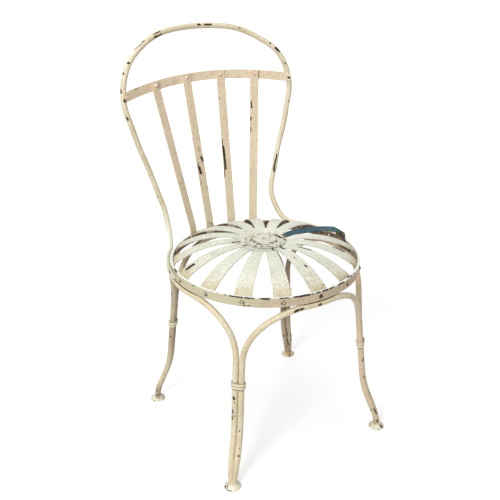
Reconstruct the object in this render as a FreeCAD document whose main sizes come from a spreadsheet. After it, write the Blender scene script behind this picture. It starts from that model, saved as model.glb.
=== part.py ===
import FreeCAD, Part
import Sketcher
import os
from math import asin, atan, atan2, cos, degrees, pi, radians, sin, sqrt, tan

# Metal bistro chair: a round sprung seat of sixteen steel slats in a flat-iron rim, four arch rods that
# form the legs in pairs, and a balloon hoop back with a riveted cross band and four flat slats.
# Millimetres. +Z up, +Y towards the back of the chair, +X to the right of someone facing its front.
# The origin is on the floor, at the middle of the chair's outline. The seat is round, and most places are
# worked out from its axis: an angle is measured from the front, positive towards +X.

Vector = FreeCAD.Vector
UP = Vector(0, 0, 1)
ORIGIN = Vector(0, 0, 0)

SIZES = (
    ("seat_height", 423, "floor to the top edge of the rim"),
    ("seat_radius", 210, "outside of the rim"),
    ("rim_height", 21, "flat bar of the rim, upright"),
    ("rim_thickness", 6, "flat bar of the rim, across"),
    ("edge_break", 0.8, "worn corners of the rim bar"),
    ("slat_count", 16, "sprung slats of the seat"),
    ("slat_thickness", 1.8, "spring steel of the seat slats"),
    ("slat_hub_width", 22, "seat slat where it parts from its neighbours"),
    ("slat_rim_width", 38, "seat slat at the rim"),
    ("slat_parting", 0.6, "slot between two seat slats at the hub"),
    ("hub_rise", 32.5, "slats at the hub above the rim's top edge"),
    ("hub_flat", 44, "where the slats leave the hub, radius"),
    ("dome_rise", 38.5, "crown of the slats above the rim's top edge"),
    ("dome_crest", 132, "outside of the rim in to where the slats are highest"),
    ("dome_radius", 225, "curve of a slat from its crest to its shoulder"),
    ("shoulder_radius", 12, "bend of a slat down into the rim"),
    ("spare_rise", 37.5, "crown of the replaced slat above the rim's top edge"),
    ("spare_radius", 460, "flatter curve of the replaced slat"),
    ("spare_swing", 12, "outer end of the replaced slat towards the front"),
    ("slat_tail_gap", 3, "tail of a slat above the rim's lower edge"),
    ("hub_radius", 46, "scalloped cover disc of the hub"),
    ("hub_scallop", 3.2, "depth of the notches in its edge"),
    ("hub_plate_radius", 43, "plate under the slats at the hub"),
    ("hub_cap_radius", 26, "raised cap on the cover disc"),
    ("hub_sheet", 2, "sheet of the hub's discs"),
    ("hub_cap_rise", 3, "height of the raised cap"),
    ("hub_opening", 25, "inner ends of the slats, from the seat's axis"),
    ("hub_rivet_circle", 37, "ring of rivets through the hub"),
    ("rivet_shank", 4.5, "diameter of the seat rivets"),
    ("rivet_head", 9, "diameter of their round heads"),
    ("rivet_rise", 2.6, "height of their round heads"),
    ("hub_rivet_head", 6.5, "diameter of the hub rivets' heads"),
    ("hub_rivet_rise", 1.4, "height of the hub rivets' heads"),
    ("end_rivet_head", 6.5, "heads of the cross band's end rivets"),
    ("hub_bolt_shank", 8, "diameter of the central rivet"),
    ("hub_bolt_head", 13, "diameter of its heads"),
    ("rod_diameter", 13, "round bar of the legs and the hoop"),
    ("leg_angle", 46.5, "front legs from the front, back legs from the back"),
    ("foot_spread", 272.5, "seat axis to the middle of a foot"),
    ("knee_height", 63, "middle of the outward kick of a leg"),
    ("knee_spread", 256, "seat axis to the leg at the knee"),
    ("ankle_bow", 2.4, "outward bow of a leg between foot and knee"),
    ("calf_height", 101, "upper part of the kick"),
    ("calf_spread", 240.6, "seat axis to the leg there"),
    ("shin_height", 150, "where the straight leg begins"),
    ("shin_spread", 230.2, "seat axis to the leg there"),
    ("thigh_spread", 215.5, "seat axis to the leg where its rods part"),
    ("arch_reach", 108, "sideways reach of a side arch's shoulder"),
    ("arch_rise", 112, "height of a side arch's shoulder"),
    ("wide_arch_reach", 138, "sideways reach of the front and back arches' shoulders"),
    ("wide_arch_rise", 125, "height of the front and back arches' shoulders"),
    ("collar_drop", 59.2, "middle of a collar below where the side arches' rods part"),
    ("collar_length", 14, "collar along the leg"),
    ("collar_wall", 2.8, "thickest wall of a collar"),
    ("foot_radius", 18, "domed foot"),
    ("foot_height", 9, "domed foot"),
    ("foot_edge", 2.4, "thickness of a foot at its edge"),
    ("foot_seat", 10.5, "flat top of a foot, radius"),
    ("stem_width", 18, "welded pair of rods where it meets the foot"),
    ("hoop_top_setback", 96, "top of the hoop, behind the rim"),
    ("hoop_top_height", 456.5, "top of the hoop above the rim"),
    ("crown_half_width", 134, "hoop, beside its top"),
    ("crown_setback", 71, "hoop, beside its top, behind the rim"),
    ("crown_height", 433.5, "hoop, beside its top, above the rim"),
    ("shoulder_half_width", 199, "upper bend of the hoop"),
    ("shoulder_setback", 37.5, "upper bend of the hoop, behind the rim"),
    ("shoulder_height", 380, "upper bend of the hoop, above the rim"),
    ("widest_half_width", 214, "hoop at its widest"),
    ("widest_setback", 24, "hoop at its widest, behind the rim"),
    ("widest_height", 330, "hoop at its widest, above the rim"),
    ("flank_half_width", 199, "hoop below the cross band"),
    ("flank_setback", 12, "hoop below the cross band, behind the rim"),
    ("flank_height", 248, "hoop below the cross band, above the rim"),
    ("side_half_width", 166, "lower half of the hoop"),
    ("side_setback", 2, "lower half of the hoop, behind the rim"),
    ("side_height", 142, "lower half of the hoop, above the rim"),
    ("waist_half_width", 145, "hoop at its waist"),
    ("waist_gap", 23.3, "hoop at its waist, clear of the rim"),
    ("waist_height", 43.5, "hoop at its waist, above the rim"),
    ("heel_half_width", 160.5, "hoop where it turns along the rim"),
    ("heel_gap", 3, "hoop there, clear of the rim"),
    ("heel_drop", 2.5, "hoop where it turns along the rim, below its top edge"),
    ("hoop_end_angle", 96, "tip of the hoop on the rim, from the front"),
    ("hoop_end_drop", 9.5, "middle of the hoop's tip below the rim's top edge"),
    ("hoop_end_thickness", 6, "tip of the hoop, beaten flat on the rim"),
    ("hoop_side_thickness", 8, "hoop along the rim, beaten flatter"),
    ("hoop_relief", 0.5, "between the rim and the rod beside it"),
    ("hoop_rivet_inset", 10, "tip of the hoop to its rivet"),
    ("back_lean", 11.8, "slats and cross band from upright, degrees"),
    ("band_height", 20, "cross band, upright"),
    ("band_thickness", 3, "cross band, across"),
    ("band_plan_radius", 548, "backward bend of the cross band"),
    ("band_arch_radius", 862, "upward arch of the cross band"),
    ("band_tip", 0.5, "cross band beyond the hoop's widest points"),
    ("band_tip_round", 6, "rounded corners of the cross band's ends"),
    ("band_relief", 0.7, "between the cross band and the bowed rods of the hoop"),
    ("back_slat_width", 20, "flat slats of the back"),
    ("back_slat_thickness", 3, "flat slats of the back"),
    ("outer_slat_top", 129.5, "outer slats at the cross band, from the middle"),
    ("inner_slat_top", 44.6, "inner slats at the cross band, from the middle"),
    ("outer_slat_angle", 24, "outer slats on the rim, from the back"),
    ("inner_slat_angle", 5.686, "near edges of the inner slats on the rim, from the back"),
    ("slat_bend_height", 14, "middle of the back slats' bend above the rim"),
    ("slat_bend_run", 10, "half length of that bend"),
    ("slat_foot_gap", 2, "foot of a back slat above the rim's lower edge"),
    ("seating_gap", 0.3, "between pieces that bear on each other"),
    ("hole_clearance", 0.15, "around a rivet's shank"),
)


def new_document(name):
    """An empty document whose sheet holds the driving dimensions."""
    document = FreeCAD.newDocument(name)
    sheet = document.addObject("Spreadsheet::Sheet", "Sizes")
    for row, (alias, value, meaning) in enumerate(SIZES, start=1):
        sheet.set(f"A{row}", meaning)
        sheet.set(f"B{row}", str(value))
        sheet.setAlias(f"B{row}", alias)
    document.recompute()
    return document, sheet


doc, sizes = new_document("bistro_chair")


def size(alias):
    return float(sizes.get(alias))


SEAT_SETBACK = "(-(Sizes.rim_thickness / 2 + Sizes.hoop_top_setback) / 2)"
RIM_TOP = "Sizes.seat_height"
RIM_BOTTOM = "(Sizes.seat_height - Sizes.rim_height)"
RIM_MIDDLE = "(Sizes.seat_height - Sizes.rim_height / 2)"
RIM_INSIDE = "(Sizes.seat_radius - Sizes.rim_thickness)"
INNER_SLAT_ANGLE = (
    "(Sizes.inner_slat_angle + asin(Sizes.back_slat_width / 2"
    " / (Sizes.seat_radius - Sizes.rim_thickness - Sizes.seating_gap)) / 1 deg)"
)
HOOP_RIVET_ANGLE = (
    "(Sizes.hoop_end_angle + Sizes.hoop_rivet_inset / (Sizes.seat_radius + Sizes.seating_gap) * 180 / pi)"
)

rod_radius = size("rod_diameter") / 2
rod_offset = rod_radius + size("seating_gap") / 2
rim_inside = size("seat_radius") - size("rim_thickness")
rim_bottom = size("seat_height") - size("rim_height")
rim_middle = size("seat_height") - size("rim_height") / 2
seat_setback = -(size("rim_thickness") / 2 + size("hoop_top_setback")) / 2
slat_pitch = 360 / size("slat_count")
sub_parts = []


def keep(piece, label):
    """Names a finished piece and lists it for export."""
    piece.Label = label
    sub_parts.append(piece)
    return piece


def on_seat_axis(piece, turn=0):
    """Places a piece that was drawn about the seat's axis."""
    piece.Placement = FreeCAD.Placement(Vector(0, seat_setback, 0), FreeCAD.Rotation(UP, turn))
    piece.setExpression("Placement.Base.y", SEAT_SETBACK)


def from_front(angle, radius, height):
    """A point at an angle from the front, a distance from the seat's axis and a height."""
    return Vector(radius * sin(radians(angle)), -radius * cos(radians(angle)), height)


# Sketch helpers: every corner, centre and radius is an expression on the sheet.


def new_body(name):
    return doc.addObject("PartDesign::Body", name)


def new_sketch(body, name, role):
    """A sketch on one of the body's own origin planes."""
    sketch = body.newObject("Sketcher::SketchObject", name)
    plane = next(item for item in body.Origin.OriginFeatures if item.Role == role)
    sketch.AttachmentSupport = [(plane, "")]
    sketch.MapMode = "FlatFace"
    return sketch


def place_vertex(sketch, geometry, vertex, across, up):
    """Holds a vertex at two expressions; the text 0 puts it on the axis."""
    for kind, axis, expression in (("DistanceX", -2, across), ("DistanceY", -1, up)):
        if expression == "0":
            sketch.addConstraint(Sketcher.Constraint("PointOnObject", geometry, vertex, axis))
            continue
        number = sketch.addConstraint(Sketcher.Constraint(kind, -1, 1, geometry, vertex, 1.0))
        sketch.renameConstraint(number, f"{kind}_{geometry}_{vertex}")
        sketch.setExpression(f"Constraints.{kind}_{geometry}_{vertex}", expression)


def add_outline(sketch, corners):
    """A closed outline of straight edges through corners given as pairs of expressions."""
    count = len(corners)
    first = sketch.GeometryCount
    start = [Vector(cos(2 * pi * i / count), sin(2 * pi * i / count), 0) for i in range(count)]
    for i in range(count):
        sketch.addGeometry(Part.LineSegment(start[i], start[(i + 1) % count]))
    for i in range(count):
        following = first + (i + 1) % count
        sketch.addConstraint(Sketcher.Constraint("Coincident", first + i, 2, following, 1))
    for i, (across, up) in enumerate(corners):
        place_vertex(sketch, first + i, 1, across, up)


def add_circle(sketch, across, up, radius):
    """A circle whose centre and radius are expressions."""
    number = sketch.addGeometry(Part.Circle(Vector(1, 1, 0), UP, 1))
    place_vertex(sketch, number, 3, across, up)
    held = sketch.addConstraint(Sketcher.Constraint("Radius", number, 1.0))
    sketch.renameConstraint(held, f"Radius_{number}")
    sketch.setExpression(f"Constraints.Radius_{number}", radius)


def add_pad(body, sketch, length, both_ways=False):
    pad = body.newObject("PartDesign::Pad", "Pad")
    pad.Profile = sketch
    pad.setExpression("Length", length)
    pad.Midplane = both_ways
    return pad


def add_pocket(body, sketch, length, both_ways=False, reverse=False):
    pocket = body.newObject("PartDesign::Pocket", "Pocket")
    pocket.Profile = sketch
    pocket.setExpression("Length", length)
    pocket.Midplane = both_ways
    pocket.Reversed = reverse
    return pocket


def add_turning(body, sketch):
    """A full revolution about the body's Z axis."""
    turned = body.newObject("PartDesign::Revolution", "Revolution")
    turned.Profile = sketch
    turned.ReferenceAxis = (sketch, ["V_Axis"])
    turned.Angle = 360
    return turned


def add_polar(body, feature, count):
    """Repeats a cut about the body's Z axis."""
    axis = next(item for item in body.Origin.OriginFeatures if item.Role == "Z_Axis")
    pattern = body.newObject("PartDesign::PolarPattern", "PolarPattern")
    pattern.Originals = [feature]
    pattern.Axis = (axis, [""])
    pattern.Angle = 360
    pattern.setExpression("Occurrences", count)
    body.Tip = pattern
    return pattern


# Path helpers: rods follow chains of tangent arcs and straight runs.


def arc_edge(start, corner, end):
    """The arc from start to end whose end tangents meet at corner, or a straight edge."""
    middle = (start + end) / 2
    height = (corner - middle).Length
    half = (end - start).Length / 2
    if height < 1e-4 * half:
        return Part.makeLine(start, end)
    bulge = half * tan(atan2(height, half) / 2)
    return Part.Arc(start, middle + (corner - middle) * (bulge / height), end).toShape()


def biarc_edges(start, leaving, end, arriving):
    """Two tangent arcs from start to end that keep the directions at both."""
    chord = end - start
    reach = chord.dot(leaving + arriving)
    spread = 2 * (1 - leaving.dot(arriving))
    if spread < 1e-9:
        arm = chord.dot(chord) / (2 * reach)
    else:
        arm = (sqrt(reach * reach + spread * chord.dot(chord)) - reach) / spread
    first = start + leaving * arm
    last = end - arriving * arm
    meeting = (first + last) / 2
    return [arc_edge(start, first, meeting), arc_edge(meeting, last, end)]


def circle_direction(before, here, after):
    """Direction at the middle one of three points on the circle through them."""
    come = here - before
    go = after - here
    return (come / come.dot(come) + go / go.dot(go)).normalize()


def smooth_path(points, first_direction, last_direction, straight=(), level=()):
    """A wire of tangent arcs through points. Spans listed in straight stay straight, and the path is
    level at the points listed in level."""
    directions = [first_direction]
    for i in range(1, len(points) - 1):
        directions.append(circle_direction(points[i - 1], points[i], points[i + 1]))
    directions.append(last_direction)
    for i in level:
        directions[i] = Vector(-points[i].y, points[i].x, 0).normalize()
    for span in straight:
        along = (points[span + 1] - points[span]).normalize()
        directions[span] = along
        directions[span + 1] = along
    edges = []
    for i in range(len(points) - 1):
        if i in straight:
            edges.append(Part.makeLine(points[i], points[i + 1]))
        else:
            edges += biarc_edges(points[i], directions[i], points[i + 1], directions[i + 1])
    return Part.Wire(edges)


def swept_rod(name, path):
    """A round rod along a path, as a sweep of a circle bound to the rod's diameter."""
    spine = doc.addObject("Part::Feature", f"{name}_path")
    spine.Shape = path
    start = path.OrderedEdges[0]
    section = doc.addObject("Part::Circle", f"{name}_section")
    section.setExpression("Radius", "Sizes.rod_diameter / 2")
    turn = FreeCAD.Rotation(UP, start.tangentAt(start.FirstParameter))
    section.Placement = FreeCAD.Placement(start.valueAt(start.FirstParameter), turn)
    sweep = doc.addObject("Part::Sweep", f"{name}_sweep")
    sweep.Sections = [section]
    sweep.Spine = (spine, [f"Edge{i + 1}" for i in range(len(path.Edges))])
    sweep.Solid = True
    sweep.Frenet = False
    return sweep


# Rivets


def rivet(inner, outer, head_radius, head_rise, shank_radius, tail_radius, tail_rise):
    """A rivet along +Z: its shank runs from inner to outer, with a domed head past outer and a low
    domed tail before inner."""
    dome = (head_radius * head_radius + head_rise * head_rise) / (2 * head_rise)
    low = (tail_radius * tail_radius + tail_rise * tail_rise) / (2 * tail_rise)
    half_head = asin(head_radius / dome) / 2
    half_tail = asin(tail_radius / low) / 2
    crown = Vector(0, 0, outer + head_rise)
    brim = Vector(head_radius, 0, outer)
    on_dome = Vector(dome * sin(half_head), 0, crown.z - dome * (1 - cos(half_head)))
    foot = Vector(0, 0, inner - tail_rise)
    lip = Vector(tail_radius, 0, inner)
    on_low = Vector(low * sin(half_tail), 0, foot.z + low * (1 - cos(half_tail)))
    edges = [
        Part.Arc(crown, on_dome, brim).toShape(),
        Part.makeLine(brim, Vector(shank_radius, 0, outer)),
        Part.makeLine(Vector(shank_radius, 0, outer), Vector(shank_radius, 0, inner)),
        Part.makeLine(Vector(shank_radius, 0, inner), lip),
        Part.Arc(lip, on_low, foot).toShape(),
        Part.makeLine(foot, crown),
    ]
    return Part.Face(Part.Wire(edges)).revolve(ORIGIN, UP, 360)


def stand_at(shape, point, direction):
    """A copy of a shape drawn along +Z, moved so that its origin and axis lie as given."""
    placed = shape.copy()
    placed.Placement = FreeCAD.Placement(point, FreeCAD.Rotation(UP, direction)) * placed.Placement
    return placed


def keep_group(name, shapes):
    """Separate solids that share one node, drawn about the seat's axis."""
    group = doc.addObject("Part::Feature", name)
    group.Shape = Part.makeCompound(shapes)
    on_seat_axis(group)
    return keep(group, name)


# Seat


def make_rim():
    """The rim: an upright flat bar rolled into a ring, drilled for the slats' rivets."""
    body = new_body("rim_body")
    profile = new_sketch(body, "rim_profile", "XZ_Plane")
    inside = RIM_INSIDE
    outside = "Sizes.seat_radius"
    edge = "Sizes.edge_break"
    add_outline(
        profile,
        [
            (inside, f"{RIM_BOTTOM} + {edge}"),
            (f"{inside} + {edge}", RIM_BOTTOM),
            (f"{outside} - {edge}", RIM_BOTTOM),
            (outside, f"{RIM_BOTTOM} + {edge}"),
            (outside, f"{RIM_TOP} - {edge}"),
            (f"{outside} - {edge}", RIM_TOP),
            (f"{inside} + {edge}", RIM_TOP),
            (inside, f"{RIM_TOP} - {edge}"),
        ],
    )
    add_turning(body, profile)
    hole = new_sketch(body, "rim_hole", "XZ_Plane")
    add_circle(hole, "0", RIM_MIDDLE, "Sizes.rivet_shank / 2 + Sizes.hole_clearance")
    drilled = add_pocket(body, hole, "Sizes.seat_radius * 2", reverse=True)
    add_polar(body, drilled, "Sizes.slat_count")
    for side in (-1, 1):
        drill_rim(body, f"180 + {side} * {INNER_SLAT_ANGLE}", RIM_MIDDLE)
        drill_rim(body, f"{side} * {HOOP_RIVET_ANGLE}", f"({RIM_TOP} - Sizes.hoop_end_drop)")
    on_seat_axis(body)
    return keep(body, "seat_rim")


def drill_rim(body, angle, height):
    """One more hole through the rim, at an angle from the front given as an expression."""
    hole = new_sketch(body, "single_hole", "XZ_Plane")
    hole.AttachmentOffset = FreeCAD.Placement(ORIGIN, FreeCAD.Rotation(Vector(0, 1, 0), 1))
    hole.setExpression("AttachmentOffset.Rotation.Angle", angle)
    add_circle(hole, "0", height, "Sizes.rivet_shank / 2 + Sizes.hole_clearance")
    add_pocket(body, hole, "Sizes.seat_radius * 2", reverse=True)


def slat_profile(tail_radius, dome_rise, dome_radius):
    """Side view of a seat slat: flat at the hub, a rise to its crest, one long falling curve, a tight
    shoulder and a short tail."""
    hub_top = size("seat_height") + size("hub_rise")
    crown = size("seat_height") + dome_rise
    flat_end = size("hub_flat")
    crest = size("seat_radius") - size("dome_crest")
    run = crest - flat_end
    climb = crown - hub_top
    bend = (run * run + climb * climb) / (4 * climb)
    sweep = asin(run / 2 / bend)
    small = size("shoulder_radius")
    fall = asin((tail_radius - crest - small) / (dome_radius - small))
    rise_centre = Vector(flat_end, 0, hub_top + bend)
    level_centre = Vector(crest, 0, crown - bend)
    fall_centre = Vector(crest, 0, crown - dome_radius)
    tail_centre = Vector(tail_radius - small, 0, fall_centre.z + (dome_radius - small) * cos(fall))
    half_turn = (pi / 2 + fall) / 2

    def around(centre, radius, angle):
        """A point on an arc, at an angle from straight up."""
        return centre + Vector(sin(angle), 0, cos(angle)) * radius

    def side_edges(inset):
        """One side of the outline, inset from the top surface."""
        start = Vector(size("hub_opening"), 0, hub_top - inset)
        leave = around(rise_centre, -bend - inset, 0)
        rising = around(rise_centre, -bend - inset, -sweep / 2)
        middle = around(rise_centre, -bend - inset, -sweep)
        levelling = around(level_centre, bend - inset, -sweep / 2)
        top = around(level_centre, bend - inset, 0)
        falling = around(fall_centre, dome_radius - inset, fall / 2)
        shoulder = around(fall_centre, dome_radius - inset, fall)
        turning = around(tail_centre, small - inset, half_turn)
        tail = around(tail_centre, small - inset, pi / 2)
        end = Vector(tail.x, 0, rim_bottom + size("slat_tail_gap"))
        edges = [
            Part.makeLine(start, leave),
            Part.Arc(leave, rising, middle).toShape(),
            Part.Arc(middle, levelling, top).toShape(),
            Part.Arc(top, falling, shoulder).toShape(),
            Part.Arc(shoulder, turning, tail).toShape(),
            Part.makeLine(tail, end),
        ]
        return edges, start, end

    upper, upper_start, upper_end = side_edges(0)
    lower, lower_start, lower_end = side_edges(size("slat_thickness"))
    ends = [Part.makeLine(upper_start, lower_start), Part.makeLine(upper_end, lower_end)]
    return Part.Face(Part.Wire(Part.__sortEdges__(upper + lower + ends)))


def slat_outline(swing):
    """Plan view of a seat slat along +X: a wedge between its neighbours up to the hub, then a taper
    whose outer end is swung sideways."""
    half_step = radians(slat_pitch / 2)
    parting = size("slat_parting") / 2
    hub_half = size("slat_hub_width") / 2
    rim_half = size("slat_rim_width") / 2
    leave = (hub_half + parting / cos(half_step)) / tan(half_step)
    start = size("hub_opening") - size("rivet_shank")
    start_half = start * tan(half_step) - parting / cos(half_step)
    end = size("seat_radius")
    corners = [
        Vector(start, start_half, 0),
        Vector(leave, hub_half, 0),
        Vector(end, rim_half - swing, 0),
        Vector(end, -rim_half - swing, 0),
        Vector(leave, -hub_half, 0),
        Vector(start, -start_half, 0),
    ]
    return Part.Face(Part.makePolygon(corners + corners[:1]))


def make_slat_blank(name, tail_radius, dome_rise, dome_radius, swing=0):
    """A seat slat before it is drilled: its side view turned about the seat's axis, cut to its plan."""
    profile = doc.addObject("Part::Feature", f"{name}_profile")
    profile.Shape = slat_profile(tail_radius, dome_rise, dome_radius)
    form = doc.addObject("Part::Revolution", f"{name}_form")
    form.Source = profile
    form.Axis = UP
    form.Base = ORIGIN
    form.Angle = 2 * slat_pitch
    form.Solid = True
    form.Symmetric = True
    plan = doc.addObject("Part::Feature", f"{name}_plan")
    plan.Shape = slat_outline(swing)
    prism = doc.addObject("Part::Extrusion", f"{name}_prism")
    prism.Base = plan
    prism.Dir = UP
    prism.setExpression("LengthFwd", "Sizes.seat_height * 2")
    prism.Solid = True
    blank = doc.addObject("Part::Common", f"{name}_blank")
    blank.Base = form
    blank.Tool = prism
    return blank


def make_slat_holes():
    """Drills for a seat slat: one down through the hub, one out through the rim."""
    hub = doc.addObject("Part::Cylinder", "hub_drill")
    hub.setExpression("Radius", "Sizes.rivet_shank / 2 + Sizes.hole_clearance")
    hub.setExpression("Height", "Sizes.seat_height * 2")
    hub.setExpression("Placement.Base.x", "Sizes.hub_rivet_circle")
    rim = doc.addObject("Part::Cylinder", "rim_drill")
    rim.setExpression("Radius", "Sizes.rivet_shank / 2 + Sizes.hole_clearance")
    rim.setExpression("Height", "Sizes.seat_radius")
    rim.Placement = FreeCAD.Placement(ORIGIN, FreeCAD.Rotation(UP, Vector(1, 0, 0)))
    rim.setExpression("Placement.Base.x", "Sizes.seat_radius / 2")
    rim.setExpression("Placement.Base.z", RIM_MIDDLE)
    drills = doc.addObject("Part::MultiFuse", "slat_drills")
    drills.Shapes = [hub, rim]
    return drills


def back_slat_face():
    """Distance of a back slat's inner face from the seat's axis: its edges bear on the round rim."""
    bearing = rim_inside - size("seating_gap")
    half = size("back_slat_width") / 2
    return sqrt(bearing * bearing - half * half) - size("back_slat_thickness")


def inner_slat_angle():
    """Middle of an inner back slat's foot, from the back."""
    bearing = rim_inside - size("seating_gap")
    return size("inner_slat_angle") + degrees(asin(size("back_slat_width") / 2 / bearing))


def clamps_back_slat(angle):
    """Whether the seat slat at an angle holds an outer back slat against the rim."""
    return abs(abs(angle - 180) - size("outer_slat_angle")) < slat_pitch / 4


def make_seat_slats():
    """The sprung slats. Two at the back also clamp the outer back slats against the rim, and the one
    that points to +X was replaced once by a flatter one, riveted a little askew."""
    reach = rim_inside - size("seating_gap")
    curve = (size("dome_rise"), size("dome_radius"))
    plain = make_slat_blank("plain_slat", reach, *curve)
    packed = make_slat_blank("packed_slat", back_slat_face() - size("seating_gap"), *curve)
    flatter = (size("spare_rise"), size("spare_radius"), size("spare_swing"))
    spare = make_slat_blank("spare_slat", reach, *flatter)
    drills = make_slat_holes()
    count = int(size("slat_count"))
    for i in range(count):
        angle = i * slat_pitch
        slat = doc.addObject("Part::Cut", f"slat_{i + 1}")
        slat.Base = packed if clamps_back_slat(angle) else plain
        if i == count // 4:
            slat.Base = spare
        slat.Tool = drills
        on_seat_axis(slat, angle - 90)
        keep(slat, f"seat_slat_{i + 1:02d}")


def make_hub_disc(label, radius, base, scalloped):
    """A drilled disc of the hub, on the slats or under them."""
    body = new_body(f"{label}_body")
    disc = new_sketch(body, "disc", "XY_Plane")
    add_circle(disc, "0", "0", radius)
    add_pad(body, disc, "Sizes.hub_sheet")
    centre = new_sketch(body, "centre_hole", "XY_Plane")
    add_circle(centre, "0", "0", "Sizes.hub_bolt_shank / 2 + Sizes.hole_clearance")
    add_pocket(body, centre, "Sizes.hub_sheet", reverse=True)
    hole = new_sketch(body, "rivet_hole", "XY_Plane")
    add_circle(hole, "0", "-Sizes.hub_rivet_circle", "Sizes.rivet_shank / 2 + Sizes.hole_clearance")
    drilled = add_pocket(body, hole, "Sizes.hub_sheet", reverse=True)
    add_polar(body, drilled, "Sizes.slat_count")
    if scalloped:
        notch = new_sketch(body, "notch", "XY_Plane")
        reach = f"({radius} + Sizes.hub_scallop)"
        half_pitch = "(180 / Sizes.slat_count * 1 deg)"
        across = f"{reach} * sin({half_pitch})"
        back = f"-{reach} * cos({half_pitch})"
        add_circle(notch, across, back, "Sizes.hub_scallop * 2")
        cut = add_pocket(body, notch, "Sizes.hub_sheet", reverse=True)
        add_polar(body, cut, "Sizes.slat_count")
    on_seat_axis(body)
    body.setExpression("Placement.Base.z", base)
    return keep(body, label)


def make_hub_cap():
    """The shallow raised cap in the middle of the cover disc, with a rolled rim and a hole."""
    body = new_body("hub_cap_body")
    profile = new_sketch(body, "cap_profile", "XZ_Plane")
    hole = "(Sizes.hub_bolt_shank / 2 + Sizes.hole_clearance)"
    radius = "Sizes.hub_cap_radius"
    rise = "Sizes.hub_cap_rise"
    add_outline(
        profile,
        [
            (hole, f"{rise} * 0.1"),
            (f"{radius} * 0.72", f"{rise} * 0.1"),
            (f"{radius} * 0.8", "0"),
            (radius, "0"),
            (radius, f"{rise} * 0.45"),
            (f"{radius} * 0.95", f"{rise} * 0.8"),
            (f"{radius} * 0.88", f"{rise} * 0.8"),
            (f"{radius} * 0.8", f"{rise} * 0.5"),
            (f"{radius} * 0.5", f"{rise} * 0.85"),
            (hole, rise),
        ],
    )
    add_turning(body, profile)
    on_seat_axis(body)
    lift = "Sizes.seat_height + Sizes.hub_rise + 2 * Sizes.seating_gap + Sizes.hub_sheet"
    body.setExpression("Placement.Base.z", lift)
    return keep(body, "hub_cap")


def make_hub():
    """Cover disc and cap above the slats' inner ends, plate below them, and the rivets through all."""
    slats_top = "Sizes.seat_height + Sizes.hub_rise"
    above = f"{slats_top} + Sizes.seating_gap"
    below = f"{slats_top} - Sizes.slat_thickness - Sizes.seating_gap - Sizes.hub_sheet"
    make_hub_disc("hub_cover_disc", "Sizes.hub_radius", above, True)
    make_hub_disc("hub_under_plate", "Sizes.hub_plate_radius", below, False)
    make_hub_cap()
    hub_top = size("seat_height") + size("hub_rise")
    gap = size("seating_gap")
    top = hub_top + gap + size("hub_sheet")
    bottom = hub_top - size("slat_thickness") - gap - size("hub_sheet")
    small = rivet(
        bottom - gap / 2,
        top + gap / 2,
        size("hub_rivet_head") / 2,
        size("hub_rivet_rise"),
        size("rivet_shank") / 2,
        size("hub_rivet_head") / 2,
        size("hub_rivet_rise"),
    )
    ring = []
    for i in range(int(size("slat_count"))):
        ring.append(stand_at(small, from_front(i * slat_pitch, size("hub_rivet_circle"), 0), UP))
    keep_group("hub_rivets", ring)
    middle = rivet(
        bottom - gap / 2,
        top + gap + size("hub_cap_rise") + gap / 2,
        size("hub_bolt_head") / 2,
        size("hub_rivet_rise"),
        size("hub_bolt_shank") / 2,
        size("hub_bolt_head") / 2,
        size("rivet_rise"),
    )
    keep_group("hub_center_rivet", [middle])


def seat_rivet(inner, outer, head="rivet_head"):
    """A rivet with the seat's round head outside and a low tail inside."""
    return rivet(
        inner - size("seating_gap") / 2,
        outer + size("seating_gap") / 2,
        size(head) / 2,
        size("rivet_rise") * size(head) / size("rivet_head"),
        size("rivet_shank") / 2,
        size(head) / 2,
        size("rivet_rise") / 2,
    )


def through_rim(shape, angle, height):
    """A rivet drawn along +Z, laid across the rim at an angle from the front."""
    return stand_at(shape, Vector(0, 0, height), from_front(angle, 1, 0))


def make_rim_rivets():
    """Rivets through rim and seat slats. Those over the outer back slats are longer, and the two that
    the hoop lies over are filed flush with the rim."""
    heel = hoop_point("heel")
    beside_hoop = degrees(atan2(heel.x, -heel.y)) - slat_pitch / 4
    rivets = []
    for i in range(int(size("slat_count"))):
        angle = i * slat_pitch
        from_side = min(angle, 360 - angle)
        inner = rim_inside - size("seating_gap") - size("slat_thickness")
        if clamps_back_slat(angle):
            inner = back_slat_face() - size("seating_gap") - size("slat_thickness")
        shape = seat_rivet(inner, size("seat_radius"))
        if size("hoop_end_angle") < from_side < beside_hoop:
            keeper = Part.makeCylinder(size("rivet_head"), size("seat_radius"))
            shape = shape.common(keeper)
        rivets.append(through_rim(shape, angle, rim_middle))
    keep_group("rim_rivets", rivets)


# Legs

ARCH_STEPS = 4


def leg_spread(height):
    """Distance of the straight upper leg from the seat's axis at a height."""
    parting = rod_top_height() - size("arch_rise")
    share = (height - size("shin_height")) / (parting - size("shin_height"))
    return size("shin_spread") + share * (size("thigh_spread") - size("shin_spread"))


def rod_top_height():
    """Centre of an arch rod where it runs under the rim."""
    return rim_bottom - size("seating_gap") - rod_radius


def beside_leg(angle, spread, offset, height):
    """A point on a rod that runs beside a leg's middle, offset along the rim's direction."""
    along = Vector(cos(radians(angle)), sin(radians(angle)), 0)
    return from_front(angle, spread, height) + along * offset


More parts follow.
